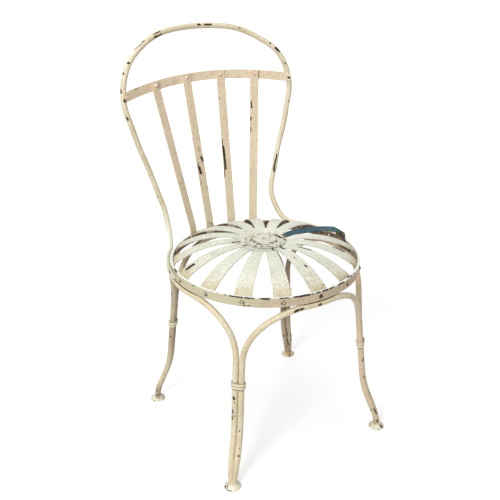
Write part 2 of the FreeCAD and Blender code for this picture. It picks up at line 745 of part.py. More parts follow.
def half_arch(centre, half_span, side, reach, rise):
    """Points of one half of an arch rod, from its foot up to the middle, and its straight span. The
    shoulder, a quarter of an oval, reaches sideways and rises as given."""
    leg = centre + side * half_span
    foot_offset = (size("stem_width") - size("rod_diameter")) / 2
    mid_offset = (foot_offset + rod_offset) / 2
    low = size("foot_height")
    ankle = (low + size("knee_height")) / 2
    ankle_spread = (size("foot_spread") + size("knee_spread")) / 2 + size("ankle_bow")
    stations = [
        (low, size("foot_spread"), foot_offset),
        (ankle, ankle_spread, mid_offset),
        (size("knee_height"), size("knee_spread"), rod_offset),
        (size("calf_height"), size("calf_spread"), rod_offset),
        (size("shin_height"), size("shin_spread"), rod_offset),
    ]
    points = [beside_leg(leg, spread, -side * off, high) for high, spread, off in stations]
    parting = rod_top_height() - rise
    thigh = leg_spread(parting)
    points.append(beside_leg(leg, thigh, -side * rod_offset, parting))
    straight = len(points) - 2
    top_radius = size("seat_radius") - size("rim_thickness") / 2
    for i in range(1, ARCH_STEPS + 1):
        turn = radians(90 * i / ARCH_STEPS)
        run = rod_offset + reach * (1 - cos(turn))
        radius = thigh + (top_radius - thigh) * sin(turn)
        height = parting + rise * sin(turn)
        points.append(from_front(leg - side * degrees(run / radius), radius, height))
    touch = leg - side * degrees((rod_offset + reach) / top_radius)
    for share in (1 / 2, 1):
        points.append(from_front(touch + (centre - touch) * share, top_radius, rod_top_height()))
    return points, straight


def make_arch(label, centre, half_span, reach, rise):
    """One rod bent into an arch: up from one foot, along under the rim, and down to the next foot.
    Its feet are cut flat against the neighbouring rods, as in a forge weld."""
    left, left_straight = half_arch(centre, half_span, -1, reach, rise)
    right, right_straight = half_arch(centre, half_span, 1, reach, rise)
    points = left + right[-2::-1]
    down = Vector(0, 0, -1)
    straight = (left_straight, len(points) - 2 - right_straight)
    touch = left_straight + 1 + ARCH_STEPS
    level = range(touch, len(points) - touch)
    rod = swept_rod(label, smooth_path(points, UP, down, straight, level))
    sector = doc.addObject("Part::Cylinder", f"{label}_sector")
    sector.setExpression("Radius", "Sizes.foot_spread * 2")
    sector.setExpression("Height", "Sizes.seat_height * 2")
    trim = degrees(size("seating_gap") * 0.4 / size("foot_spread"))
    sector.Angle = 2 * (half_span - trim)
    start = centre - 90 - half_span + trim
    sector.Placement = FreeCAD.Placement(ORIGIN, FreeCAD.Rotation(UP, start))
    arch = doc.addObject("Part::Common", f"{label}_rod")
    arch.Base = rod
    arch.Tool = sector
    on_seat_axis(arch)
    return keep(arch, label)


LEGS = (
    ("front_right", 1, 1),
    ("back_right", 1, -1),
    ("back_left", -1, -1),
    ("front_left", -1, 1),
)


def leg_direction(side, front):
    """Angle of a leg from the front."""
    angle = size("leg_angle") if front > 0 else 180 - size("leg_angle")
    return side * angle


def make_arches():
    wide = (size("leg_angle"), size("wide_arch_reach"), size("wide_arch_rise"))
    flank = (90 - size("leg_angle"), size("arch_reach"), size("arch_rise"))
    make_arch("leg_arch_front", 0, *wide)
    make_arch("leg_arch_right", 90, *flank)
    make_arch("leg_arch_back", 180, *wide)
    make_arch("leg_arch_left", -90, *flank)


PARTING_HEIGHT = (
    "(Sizes.seat_height - Sizes.rim_height - Sizes.seating_gap - Sizes.rod_diameter / 2 - Sizes.arch_rise)"
)
COLLAR_HEIGHT = f"({PARTING_HEIGHT} - Sizes.collar_drop)"
COLLAR_SPREAD = (
    "(Sizes.shin_spread + (Sizes.thigh_spread - Sizes.shin_spread)"
    f" * ({COLLAR_HEIGHT} - Sizes.shin_height) / ({PARTING_HEIGHT} - Sizes.shin_height))"
)


def stand_on_leg(piece, side, front, spread):
    """Puts a piece on a leg's middle plane, at a distance from the seat's axis given as an expression."""
    across = f"{side} * {spread} * sin(Sizes.leg_angle * 1 deg)"
    piece.setExpression("Placement.Base.x", across)
    back = f"{-front} * {spread} * cos(Sizes.leg_angle * 1 deg)"
    piece.setExpression("Placement.Base.y", f"{SEAT_SETBACK} + {back}")


def make_collar(label, side, front):
    """A double-bead ferrule around the two rods of a leg."""
    body = new_body(f"{label}_body")
    offset = "(Sizes.rod_diameter / 2 + Sizes.seating_gap / 2)"
    bore = "(Sizes.rod_diameter / 2 + Sizes.seating_gap)"
    half = "Sizes.collar_length / 2"
    wall = "Sizes.collar_wall"
    start = f"{offset} + {bore}"
    profile = new_sketch(body, "bead_profile", "XZ_Plane")
    add_outline(
        profile,
        [
            (start, f"-{half}"),
            (f"{start} + {wall} * 0.45", f"-{half}"),
            (f"{start} + {wall} * 0.8", f"-{half} * 0.7"),
            (f"{start} + {wall} * 0.8", f"-{half} * 0.35"),
            (f"{start} + {wall} * 0.4", f"-{half} * 0.1"),
            (f"{start} + {wall} * 0.9", f"{half} * 0.15"),
            (f"{start} + {wall}", f"{half} * 0.5"),
            (f"{start} + {wall} * 0.8", f"{half} * 0.85"),
            (f"{start} + {wall} * 0.4", half),
            (start, half),
        ],
    )
    path = new_sketch(body, "collar_path", "XY_Plane")
    reach = rod_offset
    radius = rod_radius + size("seating_gap")
    right = Vector(reach, 0, 0)
    left = Vector(-reach, 0, 0)
    path.addGeometry(Part.ArcOfCircle(Part.Circle(right, UP, radius), 0, pi / 2))
    path.addGeometry(Part.LineSegment(Vector(reach, radius, 0), Vector(-reach, radius, 0)))
    path.addGeometry(Part.ArcOfCircle(Part.Circle(left, UP, radius), pi / 2, 3 * pi / 2))
    path.addGeometry(Part.LineSegment(Vector(-reach, -radius, 0), Vector(reach, -radius, 0)))
    path.addGeometry(Part.ArcOfCircle(Part.Circle(right, UP, radius), 3 * pi / 2, 2 * pi))
    pipe = body.newObject("PartDesign::AdditivePipe", "beads")
    pipe.Profile = profile
    pipe.Spine = path
    height = rod_top_height() - size("arch_rise") - size("collar_drop")
    rise = height - size("shin_height")
    lean = degrees(atan((size("shin_spread") - leg_spread(height)) / rise))
    stand_on_leg(body, side, front, COLLAR_SPREAD)
    facing = FreeCAD.Rotation(UP, leg_direction(side, front)) * FreeCAD.Rotation(Vector(1, 0, 0), -lean)
    body.Placement.Rotation = facing
    body.setExpression("Placement.Base.z", COLLAR_HEIGHT)
    return keep(body, label)


def make_foot(label, side, front):
    """A domed foot with a flat top for the leg."""
    body = new_body(f"{label}_body")
    profile = new_sketch(body, "foot_profile", "XZ_Plane")
    radius = "Sizes.foot_radius"
    high = "Sizes.foot_height"
    edge = "Sizes.foot_edge"
    seat = "Sizes.foot_seat"
    add_outline(
        profile,
        [
            ("0", "0"),
            (f"{radius} - Sizes.edge_break", "0"),
            (radius, f"{edge} * 0.3"),
            (radius, f"{edge} * 0.75"),
            (f"{radius} - Sizes.edge_break", edge),
            (f"{radius} - ({radius} - {seat}) * 0.45", f"{edge} + ({high} - {edge}) * 0.42"),
            (f"{radius} - ({radius} - {seat}) * 0.8", f"{edge} + ({high} - {edge}) * 0.72"),
            (seat, high),
            ("0", high),
        ],
    )
    add_turning(body, profile)
    stand_on_leg(body, side, front, "Sizes.foot_spread")
    return keep(body, label)


# Back


def hoop_point(name):
    """A point of the hoop's right half, by its name among the sizes."""
    across = size(f"{name}_half_width")
    if name in ("waist", "heel"):
        around = size("seat_radius") + size(f"{name}_gap") + rod_radius
        back = sqrt(around * around - across * across)
    else:
        back = size("seat_radius") + size(f"{name}_setback")
    rise = -size("heel_drop") if name == "heel" else size(f"{name}_height")
    return Vector(across, back, size("seat_height") + rise)


def hoop_stations():
    """Right half of the hoop's centreline, from its top down to its tip on the rim."""
    back = size("seat_radius") + size("hoop_top_setback")
    points = [Vector(0, back, size("seat_height") + size("hoop_top_height"))]
    for name in ("crown", "shoulder", "widest", "flank", "side", "waist", "heel"):
        points.append(hoop_point(name))
    beside = size("seat_radius") + size("hoop_relief") + rod_radius
    heel = points[-1]
    start = degrees(atan2(heel.x, -heel.y))
    end = size("hoop_end_angle")
    tip = size("seat_height") - size("hoop_end_drop")
    for share, settled in ((0.35, 0.6), (0.65, 1), (1, 1)):
        height = heel.z + (tip - heel.z) * settled
        points.append(from_front(start + (end - start) * share, beside, height))
    return points


def hoop_rivet_angle():
    beside = size("seat_radius") + size("seating_gap")
    return size("hoop_end_angle") + degrees(size("hoop_rivet_inset") / beside)


def make_flat(side):
    """The block that takes the outer half of the rod away at a tip of the hoop."""
    name = "left" if side < 0 else "right"
    block = doc.addObject("Part::Box", f"flat_{name}")
    block.setExpression("Length", "Sizes.rod_diameter * 12")
    block.setExpression("Width", "Sizes.rod_diameter * 2")
    block.setExpression("Height", "Sizes.rod_diameter * 4")
    angle = side * hoop_rivet_angle()
    outside = size("seat_radius") + size("seating_gap") + size("hoop_end_thickness")
    corner = from_front(angle, outside, size("seat_height") - size("hoop_end_drop"))
    corner += Vector(cos(radians(angle)), sin(radians(angle)), 0) * (size("rod_diameter") * 6)
    corner -= UP * (size("rod_diameter") * 2)
    block.Placement = FreeCAD.Placement(corner, FreeCAD.Rotation(UP, angle + 180))
    return block


def make_anvil():
    """The block that flattens the outside of the hoop along the rim: a ring round a cylinder up to the
    rim's top edge, and round a cone from there up to the waist."""
    flat_radius = "(Sizes.seat_radius + Sizes.seating_gap + Sizes.hoop_side_thickness)"
    waist_radius = "(Sizes.seat_radius + Sizes.waist_gap + Sizes.rod_diameter)"
    ring = doc.addObject("Part::Cylinder", "anvil_ring")
    ring.setExpression("Radius", "Sizes.seat_radius * 2")
    ring.setExpression("Height", "Sizes.waist_height + Sizes.rim_height * 2")
    ring.setExpression("Placement.Base.z", f"{RIM_BOTTOM} - Sizes.rim_height")
    core = doc.addObject("Part::Cylinder", "anvil_core")
    core.setExpression("Radius", flat_radius)
    core.setExpression("Height", "Sizes.rim_height * 2")
    core.setExpression("Placement.Base.z", f"{RIM_BOTTOM} - Sizes.rim_height")
    flare = doc.addObject("Part::Cone", "anvil_flare")
    flare.setExpression("Radius1", flat_radius)
    flare.setExpression("Radius2", waist_radius)
    flare.setExpression("Height", "Sizes.waist_height")
    flare.setExpression("Placement.Base.z", RIM_TOP)
    kept = doc.addObject("Part::MultiFuse", "anvil_kept")
    kept.Shapes = [core, flare]
    anvil = doc.addObject("Part::Cut", "anvil")
    anvil.Base = ring
    anvil.Tool = kept
    return anvil


def make_drill(name, point, direction):
    """A long drill through a point, sized for a seat rivet's shank."""
    drill = doc.addObject("Part::Cylinder", name)
    drill.setExpression("Radius", "Sizes.rivet_shank / 2 + Sizes.hole_clearance")
    drill.setExpression("Height", "Sizes.rod_diameter * 4")
    start = point - direction * (size("rod_diameter") * 2)
    drill.Placement = FreeCAD.Placement(start, FreeCAD.Rotation(UP, direction))
    return drill


def cut_from(name, base, tools):
    """The base less a list of tools."""
    joined = doc.addObject("Part::Compound", f"{name}_cuts")
    joined.Links = tools
    cut = doc.addObject("Part::Cut", name)
    cut.Base = base
    cut.Tool = joined
    return cut


def make_hoop():
    """The balloon hoop: one round rod from one side of the rim, up, over and down to the other side,
    beaten flatter along the rim and flat at both tips."""
    right = hoop_stations()
    left = [Vector(-point.x, point.y, point.z) for point in reversed(right[1:])]
    end = radians(size("hoop_end_angle"))
    leaving = Vector(-cos(end), sin(end), 0)
    arriving = Vector(-cos(end), -sin(end), 0)
    rod = swept_rod("hoop", smooth_path(left + right, leaving, arriving))
    tools = [make_anvil()]
    for side in (-1, 1):
        tools.append(make_flat(side))
        out = from_front(side * hoop_rivet_angle(), 1, 0)
        tip = out * size("seat_radius") + UP * (size("seat_height") - size("hoop_end_drop"))
        tools.append(make_drill("tip_drill", tip, out))
        pinned = band_point(side * band_end(), 0, 0)
        tools.append(make_drill("band_drill", pinned, band_normal(side * band_end())))
    hoop = cut_from("hoop_rod", rod, tools)
    on_seat_axis(hoop)
    return keep(hoop, "back_hoop")


def band_end():
    """Sideways place of the cross band's end rivets, whose axis meets the hoop's at its widest."""
    return size("widest_half_width") / (1 + band_to_rod() / size("band_plan_radius"))


def band_to_rod():
    """From the middle of the cross band's thickness to the middle of the hoop's rod behind it."""
    return size("band_thickness") / 2 + size("band_relief") + rod_radius


def band_local(across, depth, up):
    """A point on the cross band before it leans: across from the middle, in towards the back, and up."""
    plan = size("band_plan_radius")
    arch = size("band_arch_radius")
    turn = asin(across / plan)
    back = plan * cos(turn) - plan + depth * cos(turn)
    rise = sqrt(arch * arch - across * across) - arch
    return Vector(across + depth * sin(turn), back, rise + up)


def band_lean():
    return FreeCAD.Rotation(Vector(1, 0, 0), -size("back_lean"))


def band_origin():
    """Middle of the cross band, placed so that its ends bear on the front of the hoop."""
    end = band_lean().multVec(band_local(band_end(), band_to_rod(), 0))
    return hoop_point("widest") - end


def band_point(across, depth, up):
    return band_origin() + band_lean().multVec(band_local(across, depth, up))


def band_normal(across):
    """Direction through the cross band, towards the back."""
    turn = asin(across / size("band_plan_radius"))
    return band_lean().multVec(Vector(sin(turn), cos(turn), 0))


def make_ring_bar(name, radius, radial, axial):
    """A flat ring about its own Z axis as the difference of two cylinders, from expressions."""
    outer = doc.addObject("Part::Cylinder", f"{name}_outer")
    outer.setExpression("Radius", f"{radius} + {radial} / 2")
    inner = doc.addObject("Part::Cylinder", f"{name}_inner")
    inner.setExpression("Radius", f"{radius} - {radial} / 2")
    for cylinder in (outer, inner):
        cylinder.setExpression("Height", axial)
    ring = doc.addObject("Part::Cut", f"{name}_ring")
    ring.Base = outer
    ring.Tool = inner
    return ring


def make_band():
    """The cross band: a flat bar bent back in plan and arched upwards, as the common of two rings."""
    plan = make_ring_bar(
        "band_plan", "Sizes.band_plan_radius", "Sizes.band_thickness", "Sizes.band_plan_radius"
    )
    plan.setExpression("Placement.Base.y", "-Sizes.band_plan_radius")
    plan.setExpression("Placement.Base.z", "-Sizes.band_plan_radius / 2")
    arch = make_ring_bar(
        "band_arch", "Sizes.band_arch_radius", "Sizes.band_height", "Sizes.band_plan_radius * 2"
    )
    arch.Placement = FreeCAD.Placement(ORIGIN, FreeCAD.Rotation(Vector(1, 0, 0), 90))
    arch.setExpression("Placement.Base.y", "Sizes.band_plan_radius")
    arch.setExpression("Placement.Base.z", "-Sizes.band_arch_radius")
    reach = doc.addObject("Part::Box", "band_reach")
    half = "(Sizes.widest_half_width + Sizes.band_tip)"
    reach.setExpression("Length", f"{half} * 2")
    reach.setExpression("Width", "Sizes.band_plan_radius")
    reach.setExpression("Height", "Sizes.band_plan_radius")
    reach.setExpression("Placement.Base.x", f"-{half}")
    reach.setExpression("Placement.Base.y", "-Sizes.band_plan_radius / 2")
    reach.setExpression("Placement.Base.z", "-Sizes.band_plan_radius / 2")
    bar = doc.addObject("Part::MultiCommon", "band_bar")
    bar.Shapes = [plan, arch, reach]
    doc.recompute()
    tip = size("widest_half_width")
    corners = []
    for number, edge in enumerate(bar.Shape.Edges, start=1):
        at_tip = all(abs(vertex.X) > tip for vertex in edge.Vertexes)
        if at_tip and edge.Length < 2 * size("band_thickness"):
            corners.append((number, size("band_tip_round"), size("band_tip_round")))
    rounded = doc.addObject("Part::Fillet", "band_rounded")
    rounded.Base = bar
    rounded.Edges = corners
    tools = []
    for across in band_rivet_places():
        turn = asin(across / size("band_plan_radius"))
        tools.append(make_drill("band_hole", band_local(across, 0, 0), Vector(sin(turn), cos(turn), 0)))
    band = cut_from("band", rounded, tools)
    origin = band_origin()
    band.Placement = FreeCAD.Placement(origin, band_lean())
    band.setExpression("Placement.Base.y", f"{SEAT_SETBACK} + {origin.y}")
    return keep(band, "cross_band")


def band_rivet_places():
    inside = (size("inner_slat_top"), size("outer_slat_top"), band_end())
    return [side * across for across in inside for side in (-1, 1)]


def back_slat_stations(side, foot_angle, top_across):
    """Centre, direction and facing of a back slat from its foot inside the rim to its top on the band."""
    facing = from_front(side * (180 - foot_angle), 1, 0)
    stand = facing * (back_slat_face() + size("back_slat_thickness") / 2)
    foot = stand + UP * (rim_bottom + size("slat_foot_gap"))
    bend = stand + UP * (size("seat_height") + size("slat_bend_height"))
    depth = (size("band_thickness") + size("back_slat_thickness")) / 2 + size("seating_gap")
    pinned = band_point(side * top_across, -depth, 0)
    through = band_normal(side * top_across)
    rising = pinned - bend
    flush = (rising - through * rising.dot(through)).normalize()
    top = pinned + flush * (size("band_height") / 2)
    below = pinned - flush * size("band_height")
    leaning = (below - bend).normalize()
    run = size("slat_bend_run")
    stations = [(foot, UP, facing)]
    steps = 4
    for i in range(steps + 1):
        share = i / steps
        point = bend - UP * (run * (1 - share) ** 2) + leaning * (run * share**2)
        direction = (UP * (1 - share) + leaning * share).normalize()
        stations.append((point, direction, facing))
    for share in (0.5, 0.95):
        point = bend + (below - bend) * share
        twisted = (facing * (1 - share) + through * share).normalize()
        stations.append((point, leaning, twisted))
    stations.append((below + flush * (size("band_height") / 4), flush, through))
    stations.append((top, flush, through))
    return stations, pinned, through


def flat_section(point, direction, facing):
    """Outline of a back slat across its length, as a closed wire."""
    normal = (facing - direction * facing.dot(direction)).normalize()
    across = direction.cross(normal) * (size("back_slat_width") / 2)
    through = normal * (size("back_slat_thickness") / 2)
    corners = [
        point - across - through,
        point + across - through,
        point + across + through,
        point - across + through,
    ]
    return Part.makePolygon(corners + corners[:1])


def make_back_slat(label, side, foot_angle, top_across, rivet_angle):
    """A flat slat, upright inside the rim, then leaning and twisting a little up to the cross band."""
    stations, pinned, through = back_slat_stations(side, foot_angle, top_across)
    sections = []
    for point, direction, facing in stations:
        section = doc.addObject("Part::Feature", f"{label}_section")
        section.Shape = flat_section(point, direction, facing)
        sections.append(section)
    loft = doc.addObject("Part::Loft", f"{label}_loft")
    loft.Sections = sections
    loft.Solid = True
    loft.Ruled = True
    out = from_front(side * (180 - rivet_angle), 1, 0)
    foot = out * rim_inside + UP * rim_middle
    tools = [make_drill("foot_drill", foot, out), make_drill("top_drill", pinned, through)]
    slat = cut_from(f"{label}_drilled", loft, tools)
    on_seat_axis(slat)
    return keep(slat, label)


def make_back():
    """The hoop, the cross band, four slats and the rivets that hold them."""
    make_hoop()
    make_band()
    outer = (size("outer_slat_angle"), size("outer_slat_top"), slat_pitch)
    inner = (inner_slat_angle(), size("inner_slat_top"), inner_slat_angle())
    make_back_slat("back_slat_left_outer", -1, *outer)
    make_back_slat("back_slat_left_inner", -1, *inner)
    make_back_slat("back_slat_right_inner", 1, *inner)
    make_back_slat("back_slat_right_outer", 1, *outer)
    half_band = size("band_thickness") / 2
    over_slat = half_band + size("seating_gap") + size("back_slat_thickness")
    behind_rod = band_to_rod() + rod_radius
    slat_rivets = []
    end_rivets = []
    for across in band_rivet_places():
        at_end = abs(across) > size("outer_slat_top")
        front = half_band if at_end else over_slat
        back = behind_rod if at_end else half_band
        shape = seat_rivet(-back, front, "end_rivet_head" if at_end else "rivet_head")
        placed = stand_at(shape, band_point(across, 0, 0), band_normal(across) * -1)
        (end_rivets if at_end else slat_rivets).append(placed)
    keep_group("cross_band_slat_rivets", slat_rivets)
    keep_group("cross_band_end_rivets", end_rivets)
    foot_rivet = seat_rivet(back_slat_face(), size("seat_radius"))
    tip_outside = size("seat_radius") + size("seating_gap") + size("hoop_end_thickness")
    tip_rivet = seat_rivet(rim_inside, tip_outside)
    tip_height = size("seat_height") - size("hoop_end_drop")
    feet = []
    tips = []
    for side in (-1, 1):
        feet.append(through_rim(foot_rivet, side * (180 - inner_slat_angle()), rim_middle))
        tips.append(through_rim(tip_rivet, side * hoop_rivet_angle(), tip_height))
    keep_group("back_slat_foot_rivets", feet)
    keep_group("hoop_end_rivets", tips)


def check_and_export():
    """Stops on any failed object, then writes one file for each piece."""
    doc.recompute()
    for item in doc.Objects:
        if "Invalid" in item.State or "Error" in item.State:
            raise RuntimeError(f"{item.Name} is {item.State}")
    for piece in sub_parts:
        if piece.Shape.isNull() or not piece.Shape.isValid():
            raise RuntimeError(f"{piece.Label} has no valid shape")
    os.makedirs("parts", exist_ok=True)
    for piece in sub_parts:
        piece.Shape.exportStep(f"parts/{piece.Label}.step")
        print(piece.Label, len(piece.Shape.Solids), round(piece.Shape.Volume))


make_rim()
make_seat_slats()
make_hub()
make_rim_rivets()
make_arches()
for leg, leg_side, leg_front in LEGS:
    make_collar(f"leg_collar_{leg}", leg_side, leg_front)
    make_foot(f"foot_{leg}", leg_side, leg_front)
make_back()
check_and_export()
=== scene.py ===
from functools import cache
from math import cos, pi, radians, sin

import bpy
from mathutils import Matrix, Vector
from mathutils.bvhtree import BVHTree


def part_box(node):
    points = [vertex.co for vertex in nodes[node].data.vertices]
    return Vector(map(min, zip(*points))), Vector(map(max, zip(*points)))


# Painted steel bistro chair: the finish of every piece, the studio and the camera.
# Metres, +Z up, -Y towards the front of the chair.

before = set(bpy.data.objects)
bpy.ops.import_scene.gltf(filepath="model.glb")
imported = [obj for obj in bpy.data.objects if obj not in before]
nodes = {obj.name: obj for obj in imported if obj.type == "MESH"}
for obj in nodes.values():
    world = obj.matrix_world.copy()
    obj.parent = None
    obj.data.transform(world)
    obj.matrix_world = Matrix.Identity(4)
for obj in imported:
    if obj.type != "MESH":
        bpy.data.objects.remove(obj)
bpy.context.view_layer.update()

SEAT_SLATS = 16
ODD_SLAT = "seat_slat_05"

rim_low, rim_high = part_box("seat_rim")
seat_axis = (rim_low + rim_high) / 2
rim_radius = (rim_high.x - rim_low.x) / 2
rim_top = rim_high.z
rim_bottom = rim_low.z
rim_middle = (rim_top + rim_bottom) / 2
slat_pitch = 2 * pi / SEAT_SLATS
collar_low, collar_high = [corner.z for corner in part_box("leg_collar_front_left")]
collar_middle = (collar_low + collar_high) / 2
collar_half = (collar_high - collar_low) / 2


def pieces(*starts):
    """The nodes whose names start so."""
    return [name for name in nodes if name.startswith(starts)]


# Camera, as fitted to the photograph

PHOTO_WIDTH = 500
FOCAL_PIXELS = 741.3
PRINCIPAL_POINT = Vector((249.92, 250.69))
SENSOR_WIDTH = 36.0
CAMERA_PLACE = Vector((-0.8095, -1.3116, 1.1036))
CAMERA_AZIMUTH = -31.397
CAMERA_DROP = 24.136
CAMERA_ROLL = -0.125


def camera_matrix():
    """Where the camera stands and its turn: azimuth about +Z, the drop below level, then roll."""
    azimuth = Matrix.Rotation(radians(CAMERA_AZIMUTH), 4, "Z")
    drop = Matrix.Rotation(pi / 2 - radians(CAMERA_DROP), 4, "X")
    roll = Matrix.Rotation(radians(CAMERA_ROLL), 4, "Z")
    return Matrix.Translation(CAMERA_PLACE) @ azimuth @ drop @ roll


def make_camera():
    """The photograph's camera; its lens is shifted by how far the principal point is off centre."""
    data = bpy.data.cameras.new("camera")
    data.sensor_width = SENSOR_WIDTH
    data.lens = FOCAL_PIXELS / PHOTO_WIDTH * SENSOR_WIDTH
    data.shift_x = (PHOTO_WIDTH / 2 - PRINCIPAL_POINT.x) / PHOTO_WIDTH
    data.shift_y = (PRINCIPAL_POINT.y - PHOTO_WIDTH / 2) / PHOTO_WIDTH
    data.clip_end = 100
    camera = bpy.data.objects.new("camera", data)
    camera.matrix_world = camera_matrix()
    bpy.context.scene.collection.objects.link(camera)
    bpy.context.scene.camera = camera


# Marks in the paint are listed by the pixels at which the photograph shows them, and are found
# again as points of the pieces themselves.

SEARCH_RINGS = (0, 0.7, 1.5, 2.4, 3.4, 5.0, 8.0)
SEARCH_TURNS = 8
MILLIMETRE = 0.001


@cache
def surface_of(name):
    """A piece's mesh, made ready for rays."""
    mesh = nodes[name].data
    corners = [vertex.co for vertex in mesh.vertices]
    faces = [tuple(face.vertices) for face in mesh.polygons]
    return BVHTree.FromPolygons(corners, faces)


def point_on(names, across, down):
    """The point of some pieces that the photograph shows at a pixel, or else at the nearest pixel
    of a ring round it that shows one of them."""
    turned = camera_matrix().to_3x3()
    for ring in SEARCH_RINGS:
        for step in range(SEARCH_TURNS):
            turn = 2 * pi * step / SEARCH_TURNS
            x = across + ring * cos(turn) - PRINCIPAL_POINT.x
            y = down + ring * sin(turn) - PRINCIPAL_POINT.y
            ray = (turned @ Vector((x, -y, -FOCAL_PIXELS))).normalized()
            casts = [surface_of(name).ray_cast(CAMERA_PLACE, ray) for name in names]
            hits = [(distance, point) for point, _, _, distance in casts if point is not None]
            if hits:
                return min(hits, key=lambda hit: hit[0])[1]
    raise ValueError(f"{names} don't show near {across}, {down}")


def places_of(names, marks):
    """The marks of a table: their two ends as points of some pieces, and their half width."""
    for x0, y0, x1, y1, half_width in marks:
        yield point_on(names, x0, y0), point_on(names, x1, y1), half_width * MILLIMETRE


# Colours


def paint(red, green, blue):
    """A colour in sRGB, 0 to 255 as a screen shows it, in the linear values that shaders take."""
    linear = []
    for part in (red, green, blue):
        share = part / 255
        linear.append(share / 12.92 if share <= 0.04045 else ((share + 0.055) / 1.055) ** 2.4)
    return (*linear, 1.0)


CREAM = paint(230, 216, 180)
# Also the colour of the painted highlight on the collars' beads.
PALE_CREAM = paint(239, 233, 208)
HOOP_CREAM = paint(226, 214, 184)
DEEP_CREAM = paint(196, 174, 138)
BEIGE = paint(236, 217, 187)
PALE_BEIGE = paint(240, 226, 199)
DEEP_BEIGE = paint(198, 173, 143)
RIM_BEIGE = paint(211, 193, 162)
RIM_PALE = paint(222, 208, 180)
RIM_DEEP = paint(178, 150, 124)
RIM_OLIVE = paint(208, 204, 170)
HEEL_GREEN = paint(222, 227, 204)
RIM_PINK = paint(221, 187, 154)
# Also the white of the painted highlights on rivet heads.
RIM_WHITE = paint(242, 244, 234)
SEAT_WHITE = paint(230, 232, 215)
SEAT_PALE = paint(241, 243, 233)
SEAT_DEEP = paint(168, 169, 144)
SEAT_YELLOW = paint(196, 182, 136)
FOOT_WHITE = paint(237, 234, 211)
OCHRE = paint(222, 186, 122)
TEAL = paint(34, 72, 87)
TURQUOISE = paint(26, 80, 82)
DEEP_TEAL = paint(26, 48, 60)
# Near-black of bared steel, also the colour of painted shade round the rivets and in gaps.
BARE_STEEL_AND_SHADE = paint(34, 27, 22)
RUST = paint(112, 74, 46)
# Grime brown, also the colour of painted shade on the hub, the collars, the slats' edges and the
# band.
GRIME_AND_SHADE = paint(138, 113, 88)
# Dark grime, also the colour of painted shadow under the rim and under the collars.
DARK_GRIME_AND_SHADE = paint(66, 51, 39)
SHADE_BROWN = paint(122, 94, 74)
TAN = paint(190, 164, 126)
OLD_YELLOW = paint(168, 154, 96)
HUB_GREY = paint(182, 178, 154)
WHITE = (1.0, 1.0, 1.0, 1.0)


# Shader graphs


class Graph:
    """Adds nodes to a material or to a node group, and links them."""

    def __init__(self, tree):
        self.tree = tree

    def add(self, kind, values=None, **settings):
        """A node with its settings and with values or links for its inputs."""
        node = self.tree.nodes.new(kind)
        for name, value in settings.items():
            setattr(node, name, value)
        for name, value in (values or {}).items():
            self.feed(node.inputs[name], value)
        return node

    def feed(self, socket, value):
        """Links another node's output to an input, or sets the input's value."""
        if isinstance(value, bpy.types.NodeSocket):
            self.tree.links.new(value, socket)
        else:
            socket.default_value = value

    def math(self, operation, *values):
        """The result of a calculation with numbers."""
        return self.add("ShaderNodeMath", dict(enumerate(values)), operation=operation).outputs[0]

    def times(self, first, second):
        """The product of two numbers."""
        return self.math("MULTIPLY", first, second)

    def most(self, first, *others):
        """The largest of some values."""
        for other in others:
            first = self.math("MAXIMUM", first, other)
        return first

    def apart(self, first, second):
        """How far two values lie apart."""
        return self.math("ABSOLUTE", self.math("SUBTRACT", first, second))

    def diagonal(self, first, second):
        """The distance that two distances at right angles make."""
        squares = [self.times(side, side) for side in (first, second)]
        return self.math("SQRT", self.math("ADD", *squares))

    def vector(self, operation, *values):
        """The result of a calculation with vectors, itself a vector or a number."""
        node = self.add("ShaderNodeVectorMath", dict(enumerate(values)), operation=operation)
        single = operation in ("DOT_PRODUCT", "LENGTH")
        return node.outputs["Value" if single else "Vector"]

    def part(self, vector, axis):
        """One of a vector's three numbers."""
        return self.add("ShaderNodeSeparateXYZ", {0: vector}).outputs[axis]

    def ramp(self, value, low, high, floor=0.0, ceiling=1.0):
        """A smooth step of a value from floor, at low, to ceiling, at high."""
        values = {
            "Value": value,
            "From Min": low,
            "From Max": high,
            "To Min": floor,
            "To Max": ceiling,
        }
        node = self.add("ShaderNodeMapRange", values, interpolation_type="SMOOTHSTEP")
        return node.outputs["Result"]

    def blend(self, share, first, second):
        """Mixes two colours."""
        node = self.add("ShaderNodeMix", data_type="RGBA")
        colours = [socket for socket in node.inputs if socket.type == "RGBA"]
        self.feed(node.inputs["Factor"], share)
        self.feed(colours[0], first)
        self.feed(colours[1], second)
        return next(socket for socket in node.outputs if socket.type == "RGBA")

    def noise(self, place, scale, detail=3.0, roughness=0.6):
        """A cloudy value from 0 to 1, its clouds smaller where the scale is larger."""
        values = {"Vector": place, "Scale": scale, "Detail": detail, "Roughness": roughness}
        return self.add("ShaderNodeTexNoise", values).outputs["Fac"]

    def use(self, group, values):
        """Puts a node group in place with its own values; returns its outputs."""
        node = self.add("ShaderNodeGroup", node_tree=group)
        for name, value in values.items():
            self.feed(node.inputs[name], value)
        return node.outputs


KINDS = {
    "number": "NodeSocketFloat",
    "place": "NodeSocketVector",
    "colour": "NodeSocketColor",
}


def new_group(name, inputs, outputs):
    """A node group with named sockets; returns it, its graph, its given and its result sockets."""
    tree = bpy.data.node_groups.new(name, "ShaderNodeTree")
    for label, kind in inputs:
        tree.interface.new_socket(label, in_out="INPUT", socket_type=KINDS[kind])
    for label, kind in outputs:
        tree.interface.new_socket(label, in_out="OUTPUT", socket_type=KINDS[kind])
    graph = Graph(tree)
    return tree, graph, graph.add("NodeGroupInput").outputs, graph.add("NodeGroupOutput").inputs


# A noise's values lie round its middle. Each span of them here runs from where a tone, a speck or
# rust sets in to where it is full.

